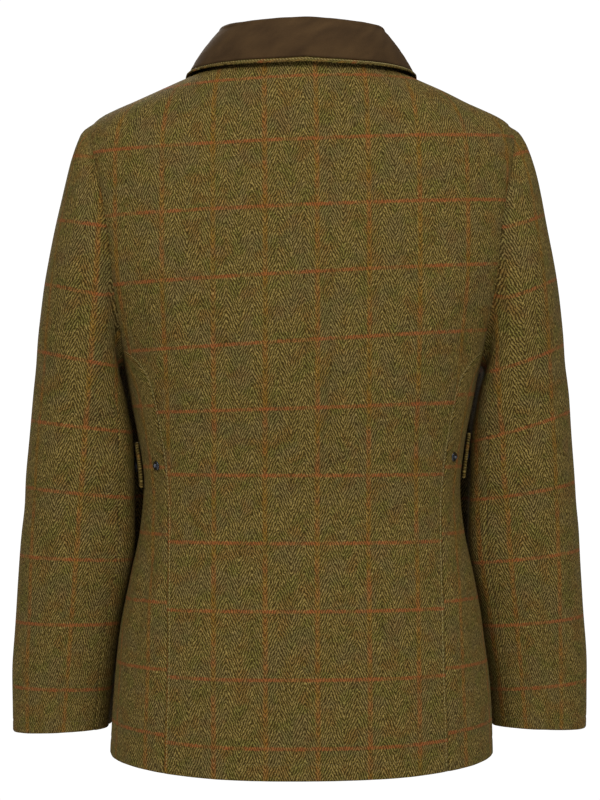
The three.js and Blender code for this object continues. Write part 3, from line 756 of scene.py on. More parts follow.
# %% Stud metal and thread
def stud_metal():
    material, tree = new_material("gunmetal_plated_brass")
    place = node(tree, "ShaderNodeTexCoord")
    spots = cloudy(tree, place.outputs["Object"], 900.0, dimensions="3D")
    colour = mixed(tree, spots, linear("#33353a"), linear("#63656b"))
    rough = sum_of(tree, "MULTIPLY_ADD", spots, 0.2, 0.22)
    end_material(tree, Base_Color=colour, Metallic=1.0, Roughness=rough)
    return material


def thread_material(name, hex_colour):
    material, tree = new_material(name)
    place = node(tree, "ShaderNodeTexCoord")
    strands = cloudy(tree, place.outputs["Object"], 2500.0, 1.0, "3D")
    bright = node(tree, "ShaderNodeMapRange", Value=strands, i3=0.75, i4=1.15).outputs[0]
    tone = node(tree, "ShaderNodeCombineColor", Red=bright, Green=bright, Blue=bright)
    colour = mixed(tree, 1.0, linear(hex_colour), tone.outputs[0], "MULTIPLY")
    end_material(tree, Base_Color=colour, Roughness=0.6)
    return material


metal = stud_metal()
straw_thread = thread_material("straw_polyester_thread", "#94844f")
moss_thread = thread_material("moss_polyester_thread", "#6a5a2a")
print("materials:", [m.name for m in (tweed, collar_cloth, metal, straw_thread, moss_thread)])

# %% [markdown]
# Where the check falls on the body.
# The back was cut with its check level, but on the body the cloth of the upper back swings a little, so
# its lines rise towards one shoulder, and near the hem they follow the hem's curve. The height on the
# cloth is measured up the centre back, over the shoulder blades, and then leaned by that swing.

# %% Height on the cloth
SWING_NAMES = ("z", "lean")
SWING = [
    (-430, 0),
    (-365, 0.034),
    (-290, 0.062),
    (-220, 0.055),
    (-150, 0.044),
    (-80, 0.046),
    (0, 0.04),
]
LEVEL_LINE = -438.7
HEM_CURVE = 12.5
swing = curve(SWING_NAMES, SWING, "z", "lean")
centre_z = np.linspace(HEM_Z, 0, 300)
centre_line = plain_body(centre_z, 90.0)
centre_run = run_along(centre_line[:, None], 0)[:, 0]


def height_on_cloth(points, deg):
    """How far up the cloth each point of the body was, measured from one line of the check."""
    x, z = points[..., 0], points[..., 2]
    round_side = 1 - np.abs(np.sin(np.radians(deg))) ** ROW_DIP
    follow = smooth_step(-600, -740, z)
    level = z + swing(z) * x - HEM_CURVE * round_side * follow
    start = np.interp(LEVEL_LINE, centre_line[:, 2], centre_run)
    return np.interp(level, centre_line[:, 2], centre_run) - start + np.minimum(level - centre_line[0, 2], 0)


def run_round(points, start_column):
    """How far round the body each point lies from one column, measured level."""
    level = points * np.array([1.0, 1.0, 0.0])
    run = run_along(level, 1)
    return run - run[:, start_column][:, None]


print("back length from hem to collar seam, cm:", centre_run[-1] / 10)

# %% [markdown]
# The rows of points on the body.
# Hem to underarm the rows are level. Beside the armhole each row ends on one point of its oval, so the
# seam keeps its curve, and the last rows climb to the collar.

# %% Rows of the body
PRINCESS_NAMES = ("side_z", "from_centre")
armhole_join = plain_body(armhole_z(PRINCESS_TOP), armhole_deg(PRINCESS_TOP))[0]
PRINCESS = [
    (-738, 148),
    (-700, 147),
    (-640, 145),
    (-474, 144.5),
    (-436, 147),
    (-401, 152),
    (-380, 155.5),
    (-354, 161),
    (-335, 168),
    (-320, 178),
    (float(armhole_z(PRINCESS_TOP)), float(armhole_join)),
]
princess = curve(PRINCESS_NAMES, PRINCESS, "side_z", "from_centre")
hem_rows = HEM_Z + np.array([0, 0.4, 0.9, 1.6, 2.6, 4.2, 7, 10.5, 14, 15.6, 17, 18.4, 20, 23])
low_rows = np.concatenate([hem_rows, np.linspace(HEM_Z + 27, UNDERARM_Z - 4, 92)])
low_rows = np.append(low_rows, UNDERARM_Z - 1.5)
arm_turns = np.linspace(-90, 90, 73)
top_rows = np.linspace(SHOULDER_Z, 0, 19)[1:]
rows_z = np.concatenate([low_rows, armhole_z(arm_turns), top_rows])
rows_turn = np.concatenate([np.full(len(low_rows), np.nan), arm_turns, np.full(len(top_rows), np.nan)])
beside_arm = ~np.isnan(rows_turn)
JOIN_ROW = int(np.flatnonzero(rows_turn <= PRINCESS_TOP + 0.1)[-1])
print("rows of points up the body:", len(rows_z))


def panel_on_body(shares, first, last, lift=None):
    """Points of a body piece, from the places round the body of its two ends on each row."""
    deg = first[:, None] + (last - first)[:, None] * shares[None, :]
    z = np.broadcast_to(rows_z[: len(first), None], deg.shape)
    plain = body_face(z, deg, 0.0 if lift is None else lift(z, deg))
    return deg, plain, body_normal(z, deg)


# %% [markdown]
# The back.
# One wide piece, with no seam down its middle. Its edges are half armhole and half curved seam. The seam
# is topstitched on this side of it.

# %% Back
BACK_WIDTH = 370
BACK_START = 10.2


def back_piece():
    turn = np.where(beside_arm, rows_turn, 0)
    seam = deg_from_x(rows_z, princess(rows_z))
    on_armhole = beside_arm & (turn >= PRINCESS_TOP)
    edge = np.where(on_armhole, armhole_deg(turn), np.where(rows_z > SHOULDER_Z, 0.0, seam))
    shares = np.union1d(graded(BACK_WIDTH, STEP), [0.5])
    deg, plain, normal = panel_on_body(shares, edge, 180 - edge)
    out, up = run_along(plain, 1), run_along(plain, 0)
    from_left, from_right = out, out[:, -1:] - out
    stitched_rows = rows_z[:, None] < armhole_z(PRINCESS_TOP)
    relief = ripple(plain, 1.0)
    for away, seed in ((from_left, 1.3), (from_right, 2.9)):
        sewn = seam_relief(away, up, STITCH_IN, seed)
        bare = seam_relief(away, up, 0, seed)
        relief = relief + np.where(stitched_rows, sewn, bare)
    relief = relief + edge_relief(up, HEM_STITCH, out, 0.7)
    edges = (from_left, 1), (from_right, -1)
    points = body_points(plain, normal, relief, turn, on_armhole, edges)
    middle = int(np.argmin(np.abs(shares - 0.5)))
    across = BACK_START - run_round(plain, middle)
    cloth_piece("back", "", points, (across, height_on_cloth(plain, deg)), normal)
    return points, normal, from_left, from_right, up


back_points, back_normal, back_left_run, back_right_run, back_up = back_piece()

# %% [markdown]
# The side backs.
# A narrow piece on each side, from the hem to a point low on the armhole. It is cut from another place
# on the cloth, so the lines of its check miss those of the back by a few millimetres.

# %% Side backs
SIDE_BACK_WIDTH = 66
SIDE_BACK_STEP = 4
SIDE_BACK_START = 24
SIDE_BACK_DROP = 7.3
ROOM_FOR_SEAMS = 18


def mirrored(values, side):
    return values if side > 0 else 180 - values


def side_back_piece(side, word):
    """Where the piece narrows to its point, there is less room for the relief of its two seams."""
    z_used, beside = rows_z[: JOIN_ROW + 1], beside_arm[: JOIN_ROW + 1]
    turn = np.where(beside, rows_turn[: JOIN_ROW + 1], -90)
    first = np.where(beside, armhole_deg(turn), 0.0)
    last = np.maximum(deg_from_x(z_used, princess(z_used)), first + 0.5)
    shares = graded(SIDE_BACK_WIDTH, SIDE_BACK_STEP)
    deg, plain, normal = panel_on_body(shares, mirrored(first, side), mirrored(last, side))
    out, up = run_along(plain, 1), run_along(plain, 0)
    inward = np.minimum(1.0, out[:, -1:] / ROOM_FOR_SEAMS)
    relief = ripple(plain, 1.0 + side)
    relief = relief + inward * seam_relief(out, up, 0, 3.3 + side)
    relief = relief + inward * seam_relief(out[:, -1:] - out, up, 0, 1.9 + side)
    relief = relief + edge_relief(up, HEM_STITCH, out, 1.1)
    points = body_points(plain, normal, relief, turn, beside, ((out, side),))
    across = run_round(plain, -1) + SIDE_BACK_START
    height = height_on_cloth(plain, deg) - SIDE_BACK_DROP
    cloth_piece("side_back", word, points, (across, height), normal)


for side, word in SIDES:
    side_back_piece(side, word)

# %% [markdown]
# The fronts.
# Both reach from the side to a little past the middle. The left one lies over the right, and rises on to
# it in a gentle slope. Its free edge is folded and stitched.

# %% Fronts
FRONT_WIDTH = 225
FRONT_LAP, LAP_RAMP = 15, 20
LAP_LIFT = WALL + SEAM_GAP + 0.2
EDGE_STITCH = 7.0


def front_piece(side, word):
    turn = np.where(beside_arm, 180 - rows_turn, 180)
    side_end = np.where(beside_arm, -armhole_deg(turn), 0.0)
    middle_end = deg_from_x(rows_z, -FRONT_LAP + 0 * rows_z)

    def lift(z, deg):
        if side < 0:
            return 0.0 * z
        x = plain_body(z, deg)[..., 0]
        return LAP_LIFT * (1 - smooth_step(FRONT_LAP, FRONT_LAP + LAP_RAMP, x))

    shares = graded(FRONT_WIDTH, STEP)
    ends = mirrored(-middle_end, side), mirrored(-side_end, side)
    deg, plain, normal = panel_on_body(shares, *ends, lift)
    out, up = run_along(plain, 1), run_along(plain, 0)
    away = out[:, -1:] - out
    relief = ripple(plain, 4.0 + side)
    relief = relief + edge_relief(out, EDGE_STITCH, up, 2.2)
    relief = relief + seam_relief(away, up, 0, 4.1 + side)
    relief = relief + edge_relief(up, HEM_STITCH, out, 1.5)
    points = body_points(plain, normal, relief, turn, beside_arm, ((away, side),))
    across = side * run_round(plain, 0) - side * FRONT_LAP + CHECK_WIDTH / 2
    cloth_piece("front", word, points, (across, height_on_cloth(plain, deg)), normal)
    return points, normal, out, up


fronts = {word: front_piece(side, word) for side, word in SIDES}

# %% [markdown]
# The sleeves. The head of a sleeve is cut a little longer than the armhole and eased in, so it stands
# up in a low roll beside the seam and has faint dimples, while its edge goes in under that of the body.
# Lower down the cloth hangs in soft bends.

# %% Sleeves
TIP_NAMES = ("z", "left", "right")
TIP = [
    (-150, 0.26, 0.56),
    (-250, 0.27, 0.46),
    (-330, 0.19, 0.36),
    (-400, 0.11, 0.3),
    (-470, 0.1, 0.15),
    (-540, 0.03, 0.11),
    (-620, 0.01, 0.09),
    (-700, 0.03, 0.08),
]
SLEEVE_LINE = -389
SLEEVE_START = {"left": 7, "right": 27}
SLEEVE_AXIS = unit(np.array([32.0, -30.0, -461.0]))
SLEEVE_TOP = np.array([228.0, 0.0, -255.0])
SLEEVE_GRAIN = (50.0, 62.0)
HEAD_SINK, HEAD_SOFT = 4.0, 9.0
HEAD_ROLL, HEAD_ROLL_UP, HEAD_ROLL_WIDTH = 1.2, 14, 7
SLEEVE_SEAM = 0.4
SLEEVE_WIDTHS = {"top_sleeve": 240, "under_sleeve": 95}
head_rows = np.array([0, 0.0012, 0.003, 0.006, 0.01, 0.015, 0.021, 0.028, 0.036, 0.045])
cuff_rows = 1 - np.array([0, 0.0006, 0.0014, 0.0026, 0.0045, 0.008, 0.013, 0.0165, 0.0185, 0.0205, 0.025])
sleeve_rows = np.concatenate([head_rows, np.linspace(0.053, 0.969, 146), cuff_rows[::-1]])


def round_the_sleeve(points, turn):
    """How far round the sleeve each point lies, measured on one oval about the sleeve's straight axis."""
    down = (points[..., 2] - SLEEVE_TOP[2]) / SLEEVE_AXIS[2]
    off = points - SLEEVE_TOP - SLEEVE_AXIS * down[..., None]
    angle = np.arctan2(off[..., 0] / SLEEVE_GRAIN[0], off[..., 1] / SLEEVE_GRAIN[1])
    angle = np.unwrap(angle, axis=1)
    angle = angle + 2 * np.pi * np.round((np.radians(turn) - angle) / (2 * np.pi))
    steps = np.linspace(-2 * np.pi, 4 * np.pi, 2161)
    oval = np.stack([SLEEVE_GRAIN[0] * np.sin(steps), SLEEVE_GRAIN[1] * np.cos(steps)], axis=-1)
    run = run_along(oval[:, None], 0)[:, 0]
    return np.interp(angle, steps, run - np.interp(0.0, steps, run))


def sleeve_piece(side, word, part, low_turn, high_turn):
    shares = graded(SLEEVE_WIDTHS[part], STEP)
    turn = low_turn + (high_turn - low_turn) * shares[None, :]
    along = np.broadcast_to(sleeve_rows[:, None], (len(sleeve_rows), len(shares)))
    turn = np.broadcast_to(turn, along.shape)
    normal = sleeve_normal(along, turn)
    plain = plain_sleeve(along, turn) + normal * sleeve_fold(along, turn)[..., None]
    out, up = run_along(plain, 1), run_along(plain, 0)
    relief = ripple(plain, 6.0 + side)
    high = np.clip(np.sin(np.radians(turn)), 0, 1)
    ease = (0.8 + 0.5 * uneven_wave(turn, 21, 2.0 + side)) * high
    relief = relief + HEAD_ROLL * ease * np.exp(-(((up - HEAD_ROLL_UP) / HEAD_ROLL_WIDTH) ** 2))
    eased = shoulder_ease(turn)
    relief = relief - HEAD_SINK * eased * np.exp(-((up / HEAD_SOFT) ** 2))
    for away, seed in ((out, 5.5), (out[:, -1:] - out, 6.5)):
        relief = relief + SLEEVE_SEAM * seam_relief(away, up, 0, seed)
    relief = relief + edge_relief(up[-1:] - up, CUFF_STITCH, out, 3.0 + side)
    way = seam_way(turn[0])[None, :]
    points = armhole_relief(plain, normal, way, up, relief, SLEEVE_SOFT, SLEEVE_SINK * eased)
    tip = curve(TIP_NAMES, TIP, "z", word)
    x, z = plain[..., 0], plain[..., 2]
    middle_x = (sleeve["in_x"](along) + sleeve["out_x"](along)) / 2
    height = z - tip(z) * (x - middle_x) - SLEEVE_LINE
    across = round_the_sleeve(plain, turn) + SLEEVE_START[word]
    points, normal = points * np.array([side, 1, 1]), normal * np.array([side, 1, 1])
    cloth_piece(part, word, points, (across, height), normal)
    return points, normal, up


sleeves = {}
for side, word in SIDES:
    sleeves[word] = (
        sleeve_piece(side, word, "top_sleeve", HIND_SEAM, FORE_SEAM),
        sleeve_piece(side, word, "under_sleeve", FORE_SEAM, 360 + HIND_SEAM),
    )

# %% [markdown]
# The collar.
# A collar is a stand that goes up the neck, a fold, and a fall that comes down over the shoulders. It has
# two layers. The brown top collar is cut a few millimetres short, and the tweed under collar rolls round
# its edge and shows below it, held by a row of stitches.

# %% Lines of the collar
COLLAR_NAMES = ("neck", "edge", "edge_z", "lift", "stand", "lean", "foot")
COLLAR = [
    (90, 90, -3.5, 7.5, 34.5, 1, 0.5),
    (45, 45, -7, 7, 33, 1, 0.5),
    (0, 0, -13.5, 5.5, 34.5, -1.5, 0.6),
    (-40, -41, -23, 5.5, 30, 1, 1.2),
    (-65, -64, -38, 6, 25, -1, 2.2),
    (-84, -73.5, -58, 6.5, 20, -3, 3),
]
COLLAR_EDGE = 5
FOLD_RADIUS = 3.2
FALL_BULGE = 4
SIDE_BULGE = 2
collar = {name: curve(COLLAR_NAMES, COLLAR, "neck", name) for name in COLLAR_NAMES[1:]}


def up_the_body(z, deg):
    return unit(plain_body(z, deg) - plain_body(z - 1.5, deg))


def collar_lines(deg, edge_length):
    """Points up the stand, over the fold and down the fall, for each place round the neck."""
    half = np.where(deg > 90, 180 - deg, deg)
    ahead = plain_body(0.0, deg + 1) - plain_body(0.0, deg - 1)
    out = unit(np.stack([ahead[..., 1], -ahead[..., 0], 0 * deg], axis=-1))
    up = np.array([0.0, 0.0, 1.0])
    foot = body_face(0.0 * deg, deg, -WALL / 2)
    foot = foot + up_the_body(0.0 * deg, deg) * collar["foot"](half)[:, None]
    top = foot + up * collar["stand"](half)[:, None] + out * collar["lean"](half)[:, None]
    edge_deg = np.where(deg > 90, 180 - collar["edge"](half), collar["edge"](half))
    edge = body_face(collar["edge_z"](half), edge_deg, collar["lift"](half))
    lines = [foot + (top - foot) * share for share in np.linspace(0, 1, 10)]
    for turn in np.radians(np.linspace(15, 180, 12)):
        lines.append(top + out * FOLD_RADIUS * (1 - np.cos(turn)) + up * FOLD_RADIUS * np.sin(turn))
    start = lines[-1]
    rounder = unit(out + 0.6 * up)
    shares = np.concatenate([np.linspace(0, 0.93, 22)[1:], [0.955, 0.975, 0.99, 1.0]])
    fullness = SIDE_BULGE + (FALL_BULGE - SIDE_BULGE) * np.sin(np.radians(np.maximum(0, half))) ** 2
    for share in shares:
        bulge = fullness[:, None] * math.sin(math.pi * share)
        lines.append(start + (edge - start) * share + rounder * bulge)
    down = -up_the_body(collar["edge_z"](half), edge_deg)
    for length in edge_length:
        lines.append(edge + down * length)
    return np.stack(lines)


def collar_normals(lines, deg):
    up_down = np.gradient(lines, axis=0)
    round_neck = np.gradient(lines, axis=1)
    normals = unit(np.cross(up_down, round_neck))
    normals[0] = -body_normal(0.0 * deg, deg)
    return normals


print("places round the neck in the table:", len(COLLAR))

# %% [markdown]
# The two layers of the collar.
# Both follow the same lines, one on each side of them, with a hair's breadth between. The points are
# closer together at the two ends, so that the ends can be rounded.

# %% Collar pieces
NECK_END = COLLAR[-1][0]
HALF_GAP = SEAM_GAP / 2


def collar_places():
    total = 180 - 2 * NECK_END
    close = np.array([0, 0.15, 0.35, 0.6, 0.95, 1.5])
    inner = np.linspace(close[-1], total - close[-1], 190)[1:-1]
    return NECK_END + np.concatenate([close, inner, total - close[::-1]])


def collar_grid(edge_length):
    deg = collar_places()
    lines = collar_lines(deg, edge_length)
    return lines, collar_normals(lines, deg), run_along(lines, 1), run_along(lines, 0)


def top_collar_piece():
    lines, normals, run, down = collar_grid([])
    from_edge = down[-1:] - down
    ends = np.minimum(run, run[:, -1:] - run)
    relief = HALF_GAP + LAYER - 1.0 * np.exp(-((from_edge / ROUND_WIDTH) ** 2))
    relief = relief - 0.8 * np.exp(-((ends / ROUND_WIDTH) ** 2))
    relief = relief + 0.22 * uneven_wave(run, 47, 1.0) * np.exp(-from_edge / 22)
    relief = relief + 0.16 * uneven_wave(run + 2 * down, 31, 2.0)
    points = lines + normals * relief[..., None]
    cloth_piece("top_collar", "", points, (run, down), normals, "collar_cloth", LAYER)


def under_collar_piece():
    """The tweed is cut on the bias here, so its weave is turned by 45 degrees."""
    lines, normals, run, down = collar_grid([0.6, 1.2, 1.8, 2.4, 3, 3.6, 4.2, 4.7, COLLAR_EDGE])
    past = np.clip(COLLAR_EDGE - (down[-1:] - down), 0, COLLAR_EDGE)
    roll = np.sin(np.pi * past / COLLAR_EDGE) ** 0.7
    points = lines - normals * (HALF_GAP + LAYER)
    places = run * 0.7 + down * 0.7, down * 0.7 - run * 0.7
    cloth_piece("under_collar", "", points, places, -normals, thickness=LAYER)
    return lines + normals * (HALF_GAP * roll)[..., None], normals


top_collar_piece()
collar_face, collar_out = under_collar_piece()

# %% [markdown]
# The waist tabs.
# Two layers of tweed make a strap that comes round each side from the front and is held by a press
# stud. Its end lies close to the body, and from behind its edge shows as a thin light strip.

# %% Waist tabs
TAB = {"height": 49, "root_deg": -38, "end_deg": 9, "thickness": 3.4, "root_lift": 0.5, "end_lift": 1.8}
TAB_LENGTH, TAB_STEP = 118, 4
TAB_START = (20, 11)
TAB_STITCH = 5
AT_THE_WAIST = {
    "left": {"tab_z": -430, "stud_z": -430, "from_centre": 156},
    "right": {"tab_z": -420, "stud_z": -421, "from_centre": 158},
}
TAB_STUD_DEG = -2


def tab_lift(share):
    return TAB["root_lift"] + (TAB["end_lift"] - TAB["root_lift"]) * share


def waist_tab(side, word):
    middle = AT_THE_WAIST[word]["tab_z"]
    z_rows = middle + TAB["height"] * (graded(TAB["height"], TAB_STEP) - 0.5)
    shares = graded(TAB_LENGTH, TAB_STEP)
    z, share = np.meshgrid(z_rows, shares, indexing="ij")
    deg = mirrored(TAB["root_deg"] + (TAB["end_deg"] - TAB["root_deg"]) * share, side)
    plain = body_face(z, deg, tab_lift(share) + TAB["thickness"])
    normal = body_normal(z, deg)
    out, up = run_along(plain, 1), run_along(plain, 0)
    edge = np.minimum(np.minimum(up, up[-1:] - up), np.minimum(out, out[:, -1:] - out))
    relief = -1.1 * np.exp(-((edge / ROUND_WIDTH) ** 2))
    relief = relief - 0.35 * np.exp(-(((edge - TAB_STITCH) / TOP_ROW_WIDTH) ** 2))
    points = plain + normal * relief[..., None]
    places = up + TAB_START[0], out + TAB_START[1]
    cloth_piece("waist_tab", word, points, places, normal, thickness=TAB["thickness"] - 0.3)
    return points, normal


tabs = {word: waist_tab(side, word) for side, word in SIDES}

# %% [markdown]
# Press studs.
# Each stud is turned about its own axis, so one outline and the Spin of a mesh make it. A cap has a
# rolled rim and a shallow dome. A post has a wide foot, a ring and a small round head that a cap's
# socket snaps over.

# %% Studs
CAP_OUTLINE = [
    (0, 3.55), (1.6, 3.5), (3.2, 3.3), (4.6, 2.95), (5.4, 2.6), (5.8, 2.35), (6.2, 2.5), (6.7, 2.45),
    (7.2, 2.0), (7.45, 1.4), (7.4, 0.7), (7.0, 0.2), (6.2, 0.0), (0, 0.0),
]
POST_OUTLINE = [
    (0, 3.95), (0.9, 3.85), (1.7, 3.45), (2.1, 2.9), (2.2, 2.4), (1.9, 1.9), (1.9, 1.5), (2.6, 1.45),
    (3.6, 1.3), (4.2, 1.15), (4.8, 0.95), (5.0, 0.6), (4.9, 0.2), (4.4, 0.0), (0, 0.0),
]
STUD_LIFT = 0.45
STUD_STEPS = 48


def stud(node_name, outline, foot, axis):
    mesh = bpy.data.meshes.new(f"{node_name}_metal")
    shape = bmesh.new()
    side_way = unit(np.cross(axis, [0.0, 0.0, 1.0]))
    points = [shape.verts.new((foot + side_way * r + axis * h) * MM) for r, h in outline]
    edges = [shape.edges.new(pair) for pair in zip(points[:-1], points[1:])]
    bmesh.ops.spin(
        shape, geom=points + edges, cent=foot * MM, axis=axis, angle=2 * math.pi, steps=STUD_STEPS
    )
    bmesh.ops.remove_doubles(shape, verts=shape.verts, dist=0.00001)
    bmesh.ops.recalc_face_normals(shape, faces=shape.faces)
    for face in shape.faces:
        face.smooth = True
    shape.to_mesh(mesh)
    shape.free()
    mesh.materials.append(metal)
    finish_piece(new_object(f"{node_name}_metal", mesh), node_name)


def stud_on_body(node_name, outline, z, deg, lift):
    foot = body_face(float(z), float(deg), lift)
    stud(node_name, outline, foot, body_normal(float(z), float(deg)))


for side, word in SIDES:
    at = AT_THE_WAIST[word]
    tab_share = (TAB_STUD_DEG - TAB["root_deg"]) / (TAB["end_deg"] - TAB["root_deg"])
    on_tab = tab_lift(tab_share) + TAB["thickness"] + STUD_LIFT - 0.2
    stud_on_body(f"tab_stud_{word}", CAP_OUTLINE, at["tab_z"], mirrored(TAB_STUD_DEG, side), on_tab)
    round_body = mirrored(float(deg_from_x(at["stud_z"], at["from_centre"])), side)
    stud_on_body(f"adjust_stud_{word}", POST_OUTLINE, at["stud_z"], round_body, STUD_LIFT)
FRONT_STUDS = {"first_z": -95, "last_z": -545, "count": 5}
for i in range(FRONT_STUDS["count"]):
    step = (FRONT_STUDS["last_z"] - FRONT_STUDS["first_z"]) / (FRONT_STUDS["count"] - 1)
    stud_on_body(
        f"front_stud_{i + 1}", CAP_OUTLINE, FRONT_STUDS["first_z"] + step * i, -90, LAP_LIFT + STUD_LIFT
    )
print("studs:", sum(1 for name in made if "stud" in name))

# %% [markdown]
# Stitches.
# A sewing machine leaves the same short thread again and again along a line, which is what Geometry
# Nodes are for. The modifier turns a line drawn on the cloth into a curve, sets a point every few
# millimetres, and puts one long bead of thread on each, turned along the line. The beads are then made
# real, because a copy that exists only in the modifier would be lost outside Blender.

# %% Stitch maker
def stitch_tree():
    tree = bpy.data.node_groups.new("row of stitches", "GeometryNodeTree")
    for name, kind, default in (
        ("Line", "NodeSocketGeometry", None),
        ("Pitch", "NodeSocketFloat", 0.0034),
        ("Thread length", "NodeSocketFloat", 0.0027),
        ("Thread width", "NodeSocketFloat", 0.0006),
        ("Thread", "NodeSocketMaterial", None),
    ):
        socket = tree.interface.new_socket(name=name, in_out="INPUT", socket_type=kind)
        if default is not None:
            socket.default_value = default
    tree.interface.new_socket(name="Stitches", in_out="OUTPUT", socket_type="NodeSocketGeometry")
    given = node(tree, "NodeGroupInput")
    line = node(tree, "GeometryNodeMeshToCurve", i0=given.outputs["Line"])
    dots = node(
        tree, "GeometryNodeCurveToPoints", {"mode": "LENGTH"},
        Curve=line.outputs[0], Length=given.outputs["Pitch"],
    )
    turned = node(tree, "FunctionNodeAlignRotationToVector", {"axis": "X"}, Vector=dots.outputs["Tangent"])
    bead = node(tree, "GeometryNodeMeshUVSphere", Segments=8, Rings=5, Radius=0.5)
    size = node(
        tree, "ShaderNodeCombineXYZ",
        X=given.outputs["Thread length"], Y=given.outputs["Thread width"], Z=given.outputs["Thread width"],
    )
    beads = node(
        tree, "GeometryNodeInstanceOnPoints",
        Points=dots.outputs["Points"], Instance=bead.outputs["Mesh"],
        Rotation=turned.outputs[0], Scale=size.outputs[0],
    )
    real = node(tree, "GeometryNodeRealizeInstances", Geometry=beads.outputs[0])
    smooth = node(tree, "GeometryNodeSetShadeSmooth", Geometry=real.outputs[0])
    threaded = node(
        tree, "GeometryNodeSetMaterial", Geometry=smooth.outputs[0], Material=given.outputs["Thread"]
    )
    node(tree, "NodeGroupOutput", Stitches=threaded.outputs[0])
    return tree


stitching = stitch_tree()


def sew(name, lines, pitch, length, width, thread):
    """Rows of stitches along lines of points, as one plain mesh."""
    points, edges = [], []
    for line in lines:
        first = len(points)
        points.extend((np.asarray(line) * MM).tolist())
        edges.extend((first + i, first + i + 1) for i in range(len(line) - 1))
    mesh = bpy.data.meshes.new(f"{name}_line")
    mesh.from_pydata(points, edges, [])
    obj = new_object(f"{name}_line", mesh)
    modifier = obj.modifiers.new("stitches", "NODES")
    modifier.node_group = stitching
    values = {"Pitch": pitch, "Thread length": length, "Thread width": width}
    for item in stitching.interface.items_tree:
        if item.in_out == "INPUT" and item.name in values:
            modifier[item.identifier] = values[item.name] * MM
        if item.in_out == "INPUT" and item.name == "Thread":
            modifier[item.identifier] = thread
    evaluated = obj.evaluated_get(bpy.context.evaluated_depsgraph_get())
    real = bpy.data.meshes.new_from_object(evaluated)
    bpy.data.objects.remove(obj)
    if not real.materials:
        real.materials.append(thread)
    sewn = new_object(name, real)
    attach(sewn, "root")
    made[name] = sewn
    print(f"{name}: {len(real.polygons)} faces")


def line_at(points, normal, run, distance, rows=slice(None), proud=0.15):
    """A line across the rows of a grid, at one distance along each of them."""
    line = []
    for i in range(*rows.indices(points.shape[0])):
        spot = [np.interp(distance, run[i], points[i, :, k]) for k in range(3)]
        way = [np.interp(distance, run[i], normal[i, :, k]) for k in range(3)]
        line.append(np.array(spot) + unit(np.array(way)) * proud)
    return line


def line_up(points, normal, up, distance, proud=0.15):
    """The same, along the columns."""
    swap = (1, 0, 2)
    return line_at(points.transpose(swap), normal.transpose(swap), up.T, distance, proud=proud)


# %% [markdown]
# The rows of stitches on the body.
# A straw thread runs beside the curved seams of the back, from the hem to the armhole. The hem, the front
# edge and the cuffs are sewn in a moss one, which hardly shows.

# %% Sew the body
below_join = slice(6, JOIN_ROW)
seam_rows = [
    line_at(back_points, back_normal, back_left_run, STITCH_IN, below_join),
    line_at(back_points[:, ::-1], back_normal[:, ::-1], back_right_run[:, ::-1], STITCH_IN, below_join),
]
sew("side_seam_stitches", seam_rows, 3.6, 2.9, 0.62, straw_thread)
hem_row = [line_up(back_points, back_normal, back_up, HEM_STITCH, 0.0)]
for word in ("left", "right"):
    points, normal, out, up = fronts[word]
    hem_row.append(line_up(points, normal, up, HEM_STITCH, 0.0))
sew("hem_stitches", hem_row, 4.0, 2.6, 0.5, moss_thread)
points, normal, out, up = fronts["left"]
front_rows = [line_at(points, normal, out, EDGE_STITCH, slice(5, None))]
sew("front_edge_stitches", front_rows, 3.6, 2.9, 0.6, moss_thread)
cuff_lines = []
for word in ("left", "right"):
    for points, normal, up in sleeves[word]:
        cuff_lines.append(line_up(points[::-1], normal[::-1], up[-1:] - up[::-1], CUFF_STITCH, 0.0))
sew("cuff_stitches", cuff_lines, 4.0, 2.6, 0.5, moss_thread)

# %% [markdown]
# The rolled edge of the collar.
# The thread along the tweed edge slants, because it is whipped over the roll, and catches the light as
# a row of short pale strokes.

# %% Sew the collar and the tabs
WHIP_START = 6
WHIP_PROUD = 0.25
WHIP_LOW = 1.2
TAB_END_COLUMNS = 16


def collar_edge_line(distance):
    down = run_along(collar_face, 0)
    from_edge = (down[-1:] - down)[::-1]
    return np.array(line_up(collar_face[::-1], collar_out[::-1], from_edge, distance, WHIP_PROUD))


high_line = collar_edge_line(COLLAR_EDGE - 1.0)
low_line = collar_edge_line(WHIP_LOW)
whips = []
for i in range(WHIP_START, len(high_line) - WHIP_START):
    slant = low_line[i + 1] - high_line[i]
    centre = high_line[i] + slant / 2
    whips.append([centre, centre + unit(slant)])
sew("collar_stitches", whips, 3.0, 3.6, 0.75, straw_thread)
tab_lines = []
for word in ("left", "right"):
    points, normal = tabs[word]
    up = run_along(points, 0)
    low = line_up(points, normal, up, TAB_STITCH)
    high = line_up(points[::-1], normal[::-1], (up[-1:] - up)[::-1], TAB_STITCH)
    tab_lines += [low[:-TAB_END_COLUMNS], high[:-TAB_END_COLUMNS]]
sew("tab_stitches", tab_lines, 3.6, 2.9, 0.6, moss_thread)

# %% [markdown]
# The floor.
# It is far below, where it would be if somebody stood in the jacket, and as matt as white paper.

# %% Floor
FLOOR_Z = -1.5
FLOOR_RADIUS = 4
FLOOR_CORNERS = 64
floor_mesh = bpy.data.meshes.new("floor")
ring = [
    (FLOOR_RADIUS * math.cos(a), FLOOR_RADIUS * math.sin(a), FLOOR_Z)
    for a in np.linspace(0, 2 * math.pi, FLOOR_CORNERS + 1)[:-1]
]
floor_mesh.from_pydata(ring, [], [list(range(FLOOR_CORNERS))])
floor_material, floor_tree = new_material("matt_white_paper")
end_material(floor_tree, Base_Color=linear("#efeeec"), Roughness=0.9)
floor_mesh.materials.append(floor_material)
floor = new_object("floor", floor_mesh)
print("floor, metres below the collar:", -FLOOR_Z)

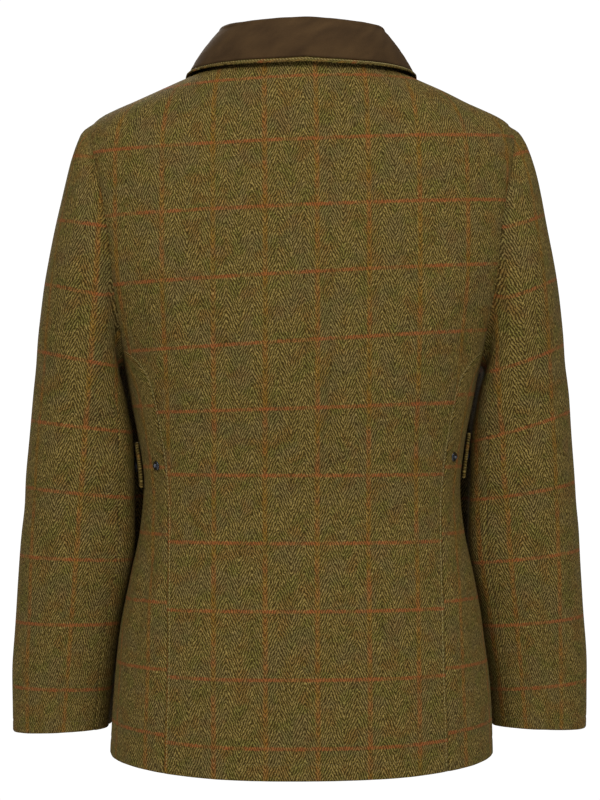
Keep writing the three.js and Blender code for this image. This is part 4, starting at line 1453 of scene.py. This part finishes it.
# %% [markdown]
# The light.
# Two large soft lamps, high behind the jacket's left and right, light the back and the sleeves and leave
# the gaps between them dark. A weak one, low behind it, reaches the hem, and a fourth lights the front. A
# room of even white light fills in the rest. The camera sees it as white, brighter than it shines.

# %% Room and lamps
ROOM_LIGHT = 0.3
world = bpy.data.worlds.new("white room")
world.use_nodes = True
world.node_tree.nodes.clear()
seen = node(world.node_tree, "ShaderNodeBackground", Color=(1, 1, 1, 1), Strength=1.05)
felt = node(world.node_tree, "ShaderNodeBackground", Color=(1, 1, 1, 1), Strength=ROOM_LIGHT)
path = node(world.node_tree, "ShaderNodeLightPath")
either = node(
    world.node_tree, "ShaderNodeMixShader",
    i0=path.outputs["Is Camera Ray"], i1=felt.outputs[0], i2=seen.outputs[0],
)
node(world.node_tree, "ShaderNodeOutputWorld", Surface=either.outputs[0])
bpy.context.scene.world = world
bpy.context.scene.view_settings.view_transform = "Standard"


def lamp(name, place, target, size, power):
    light = bpy.data.lights.new(name, "AREA")
    light.shape = "DISK"
    light.size = size
    light.energy = power
    obj = new_object(name, light)
    obj.location = place
    obj.rotation_euler = aimed(np.array(target) - np.array(place))


def aimed(direction):
    """The rotation of a lamp or a camera that looks in this direction."""
    return Vector(direction).to_track_quat("-Z", "Y").to_euler()


lamp("left lamp", (1.5, 2.1, 1.7), (0, 0, -0.3), 1.2, 57)
lamp("right lamp", (-1.5, 2.1, 1.7), (0, 0, -0.3), 1.2, 51)
lamp("low lamp", (-0.2, 2.6, -0.9), (0, 0, -0.5), 1.4, 9)
lamp("front lamp", (0.6, -2.6, 1.3), (0, 0, -0.3), 1.5, 55)
print("lamps:", len(bpy.data.lights))

# %% [markdown]
# The camera.
# It looks at the back, level with the middle of the jacket and a few degrees to one side. Its lens is
# worked out from how many pixels a metre of the jacket takes up.

# %% Camera
DISTANCE = 2.6
SHIFT_PIXELS = -2.0
AZIMUTH = math.radians(177.2)
EYE_Z = -0.361
PIXELS_PER_METRE = 930.0
PICTURE = (600, 800)
SENSOR = 36.0
camera_data = bpy.data.cameras.new("camera")
camera_data.sensor_width = SENSOR
camera_data.lens = PIXELS_PER_METRE * DISTANCE * SENSOR / PICTURE[1]
camera_data.shift_x = SHIFT_PIXELS / PICTURE[1]
camera_data.clip_end = 50
camera = new_object("camera", camera_data)
direction = np.array([math.sin(AZIMUTH), -math.cos(AZIMUTH), 0.0])
camera.location = (*(direction[:2] * DISTANCE), EYE_Z)
camera.rotation_euler = aimed(-direction)
bpy.context.scene.camera = camera
print("lens, mm:", round(camera_data.lens, 1))
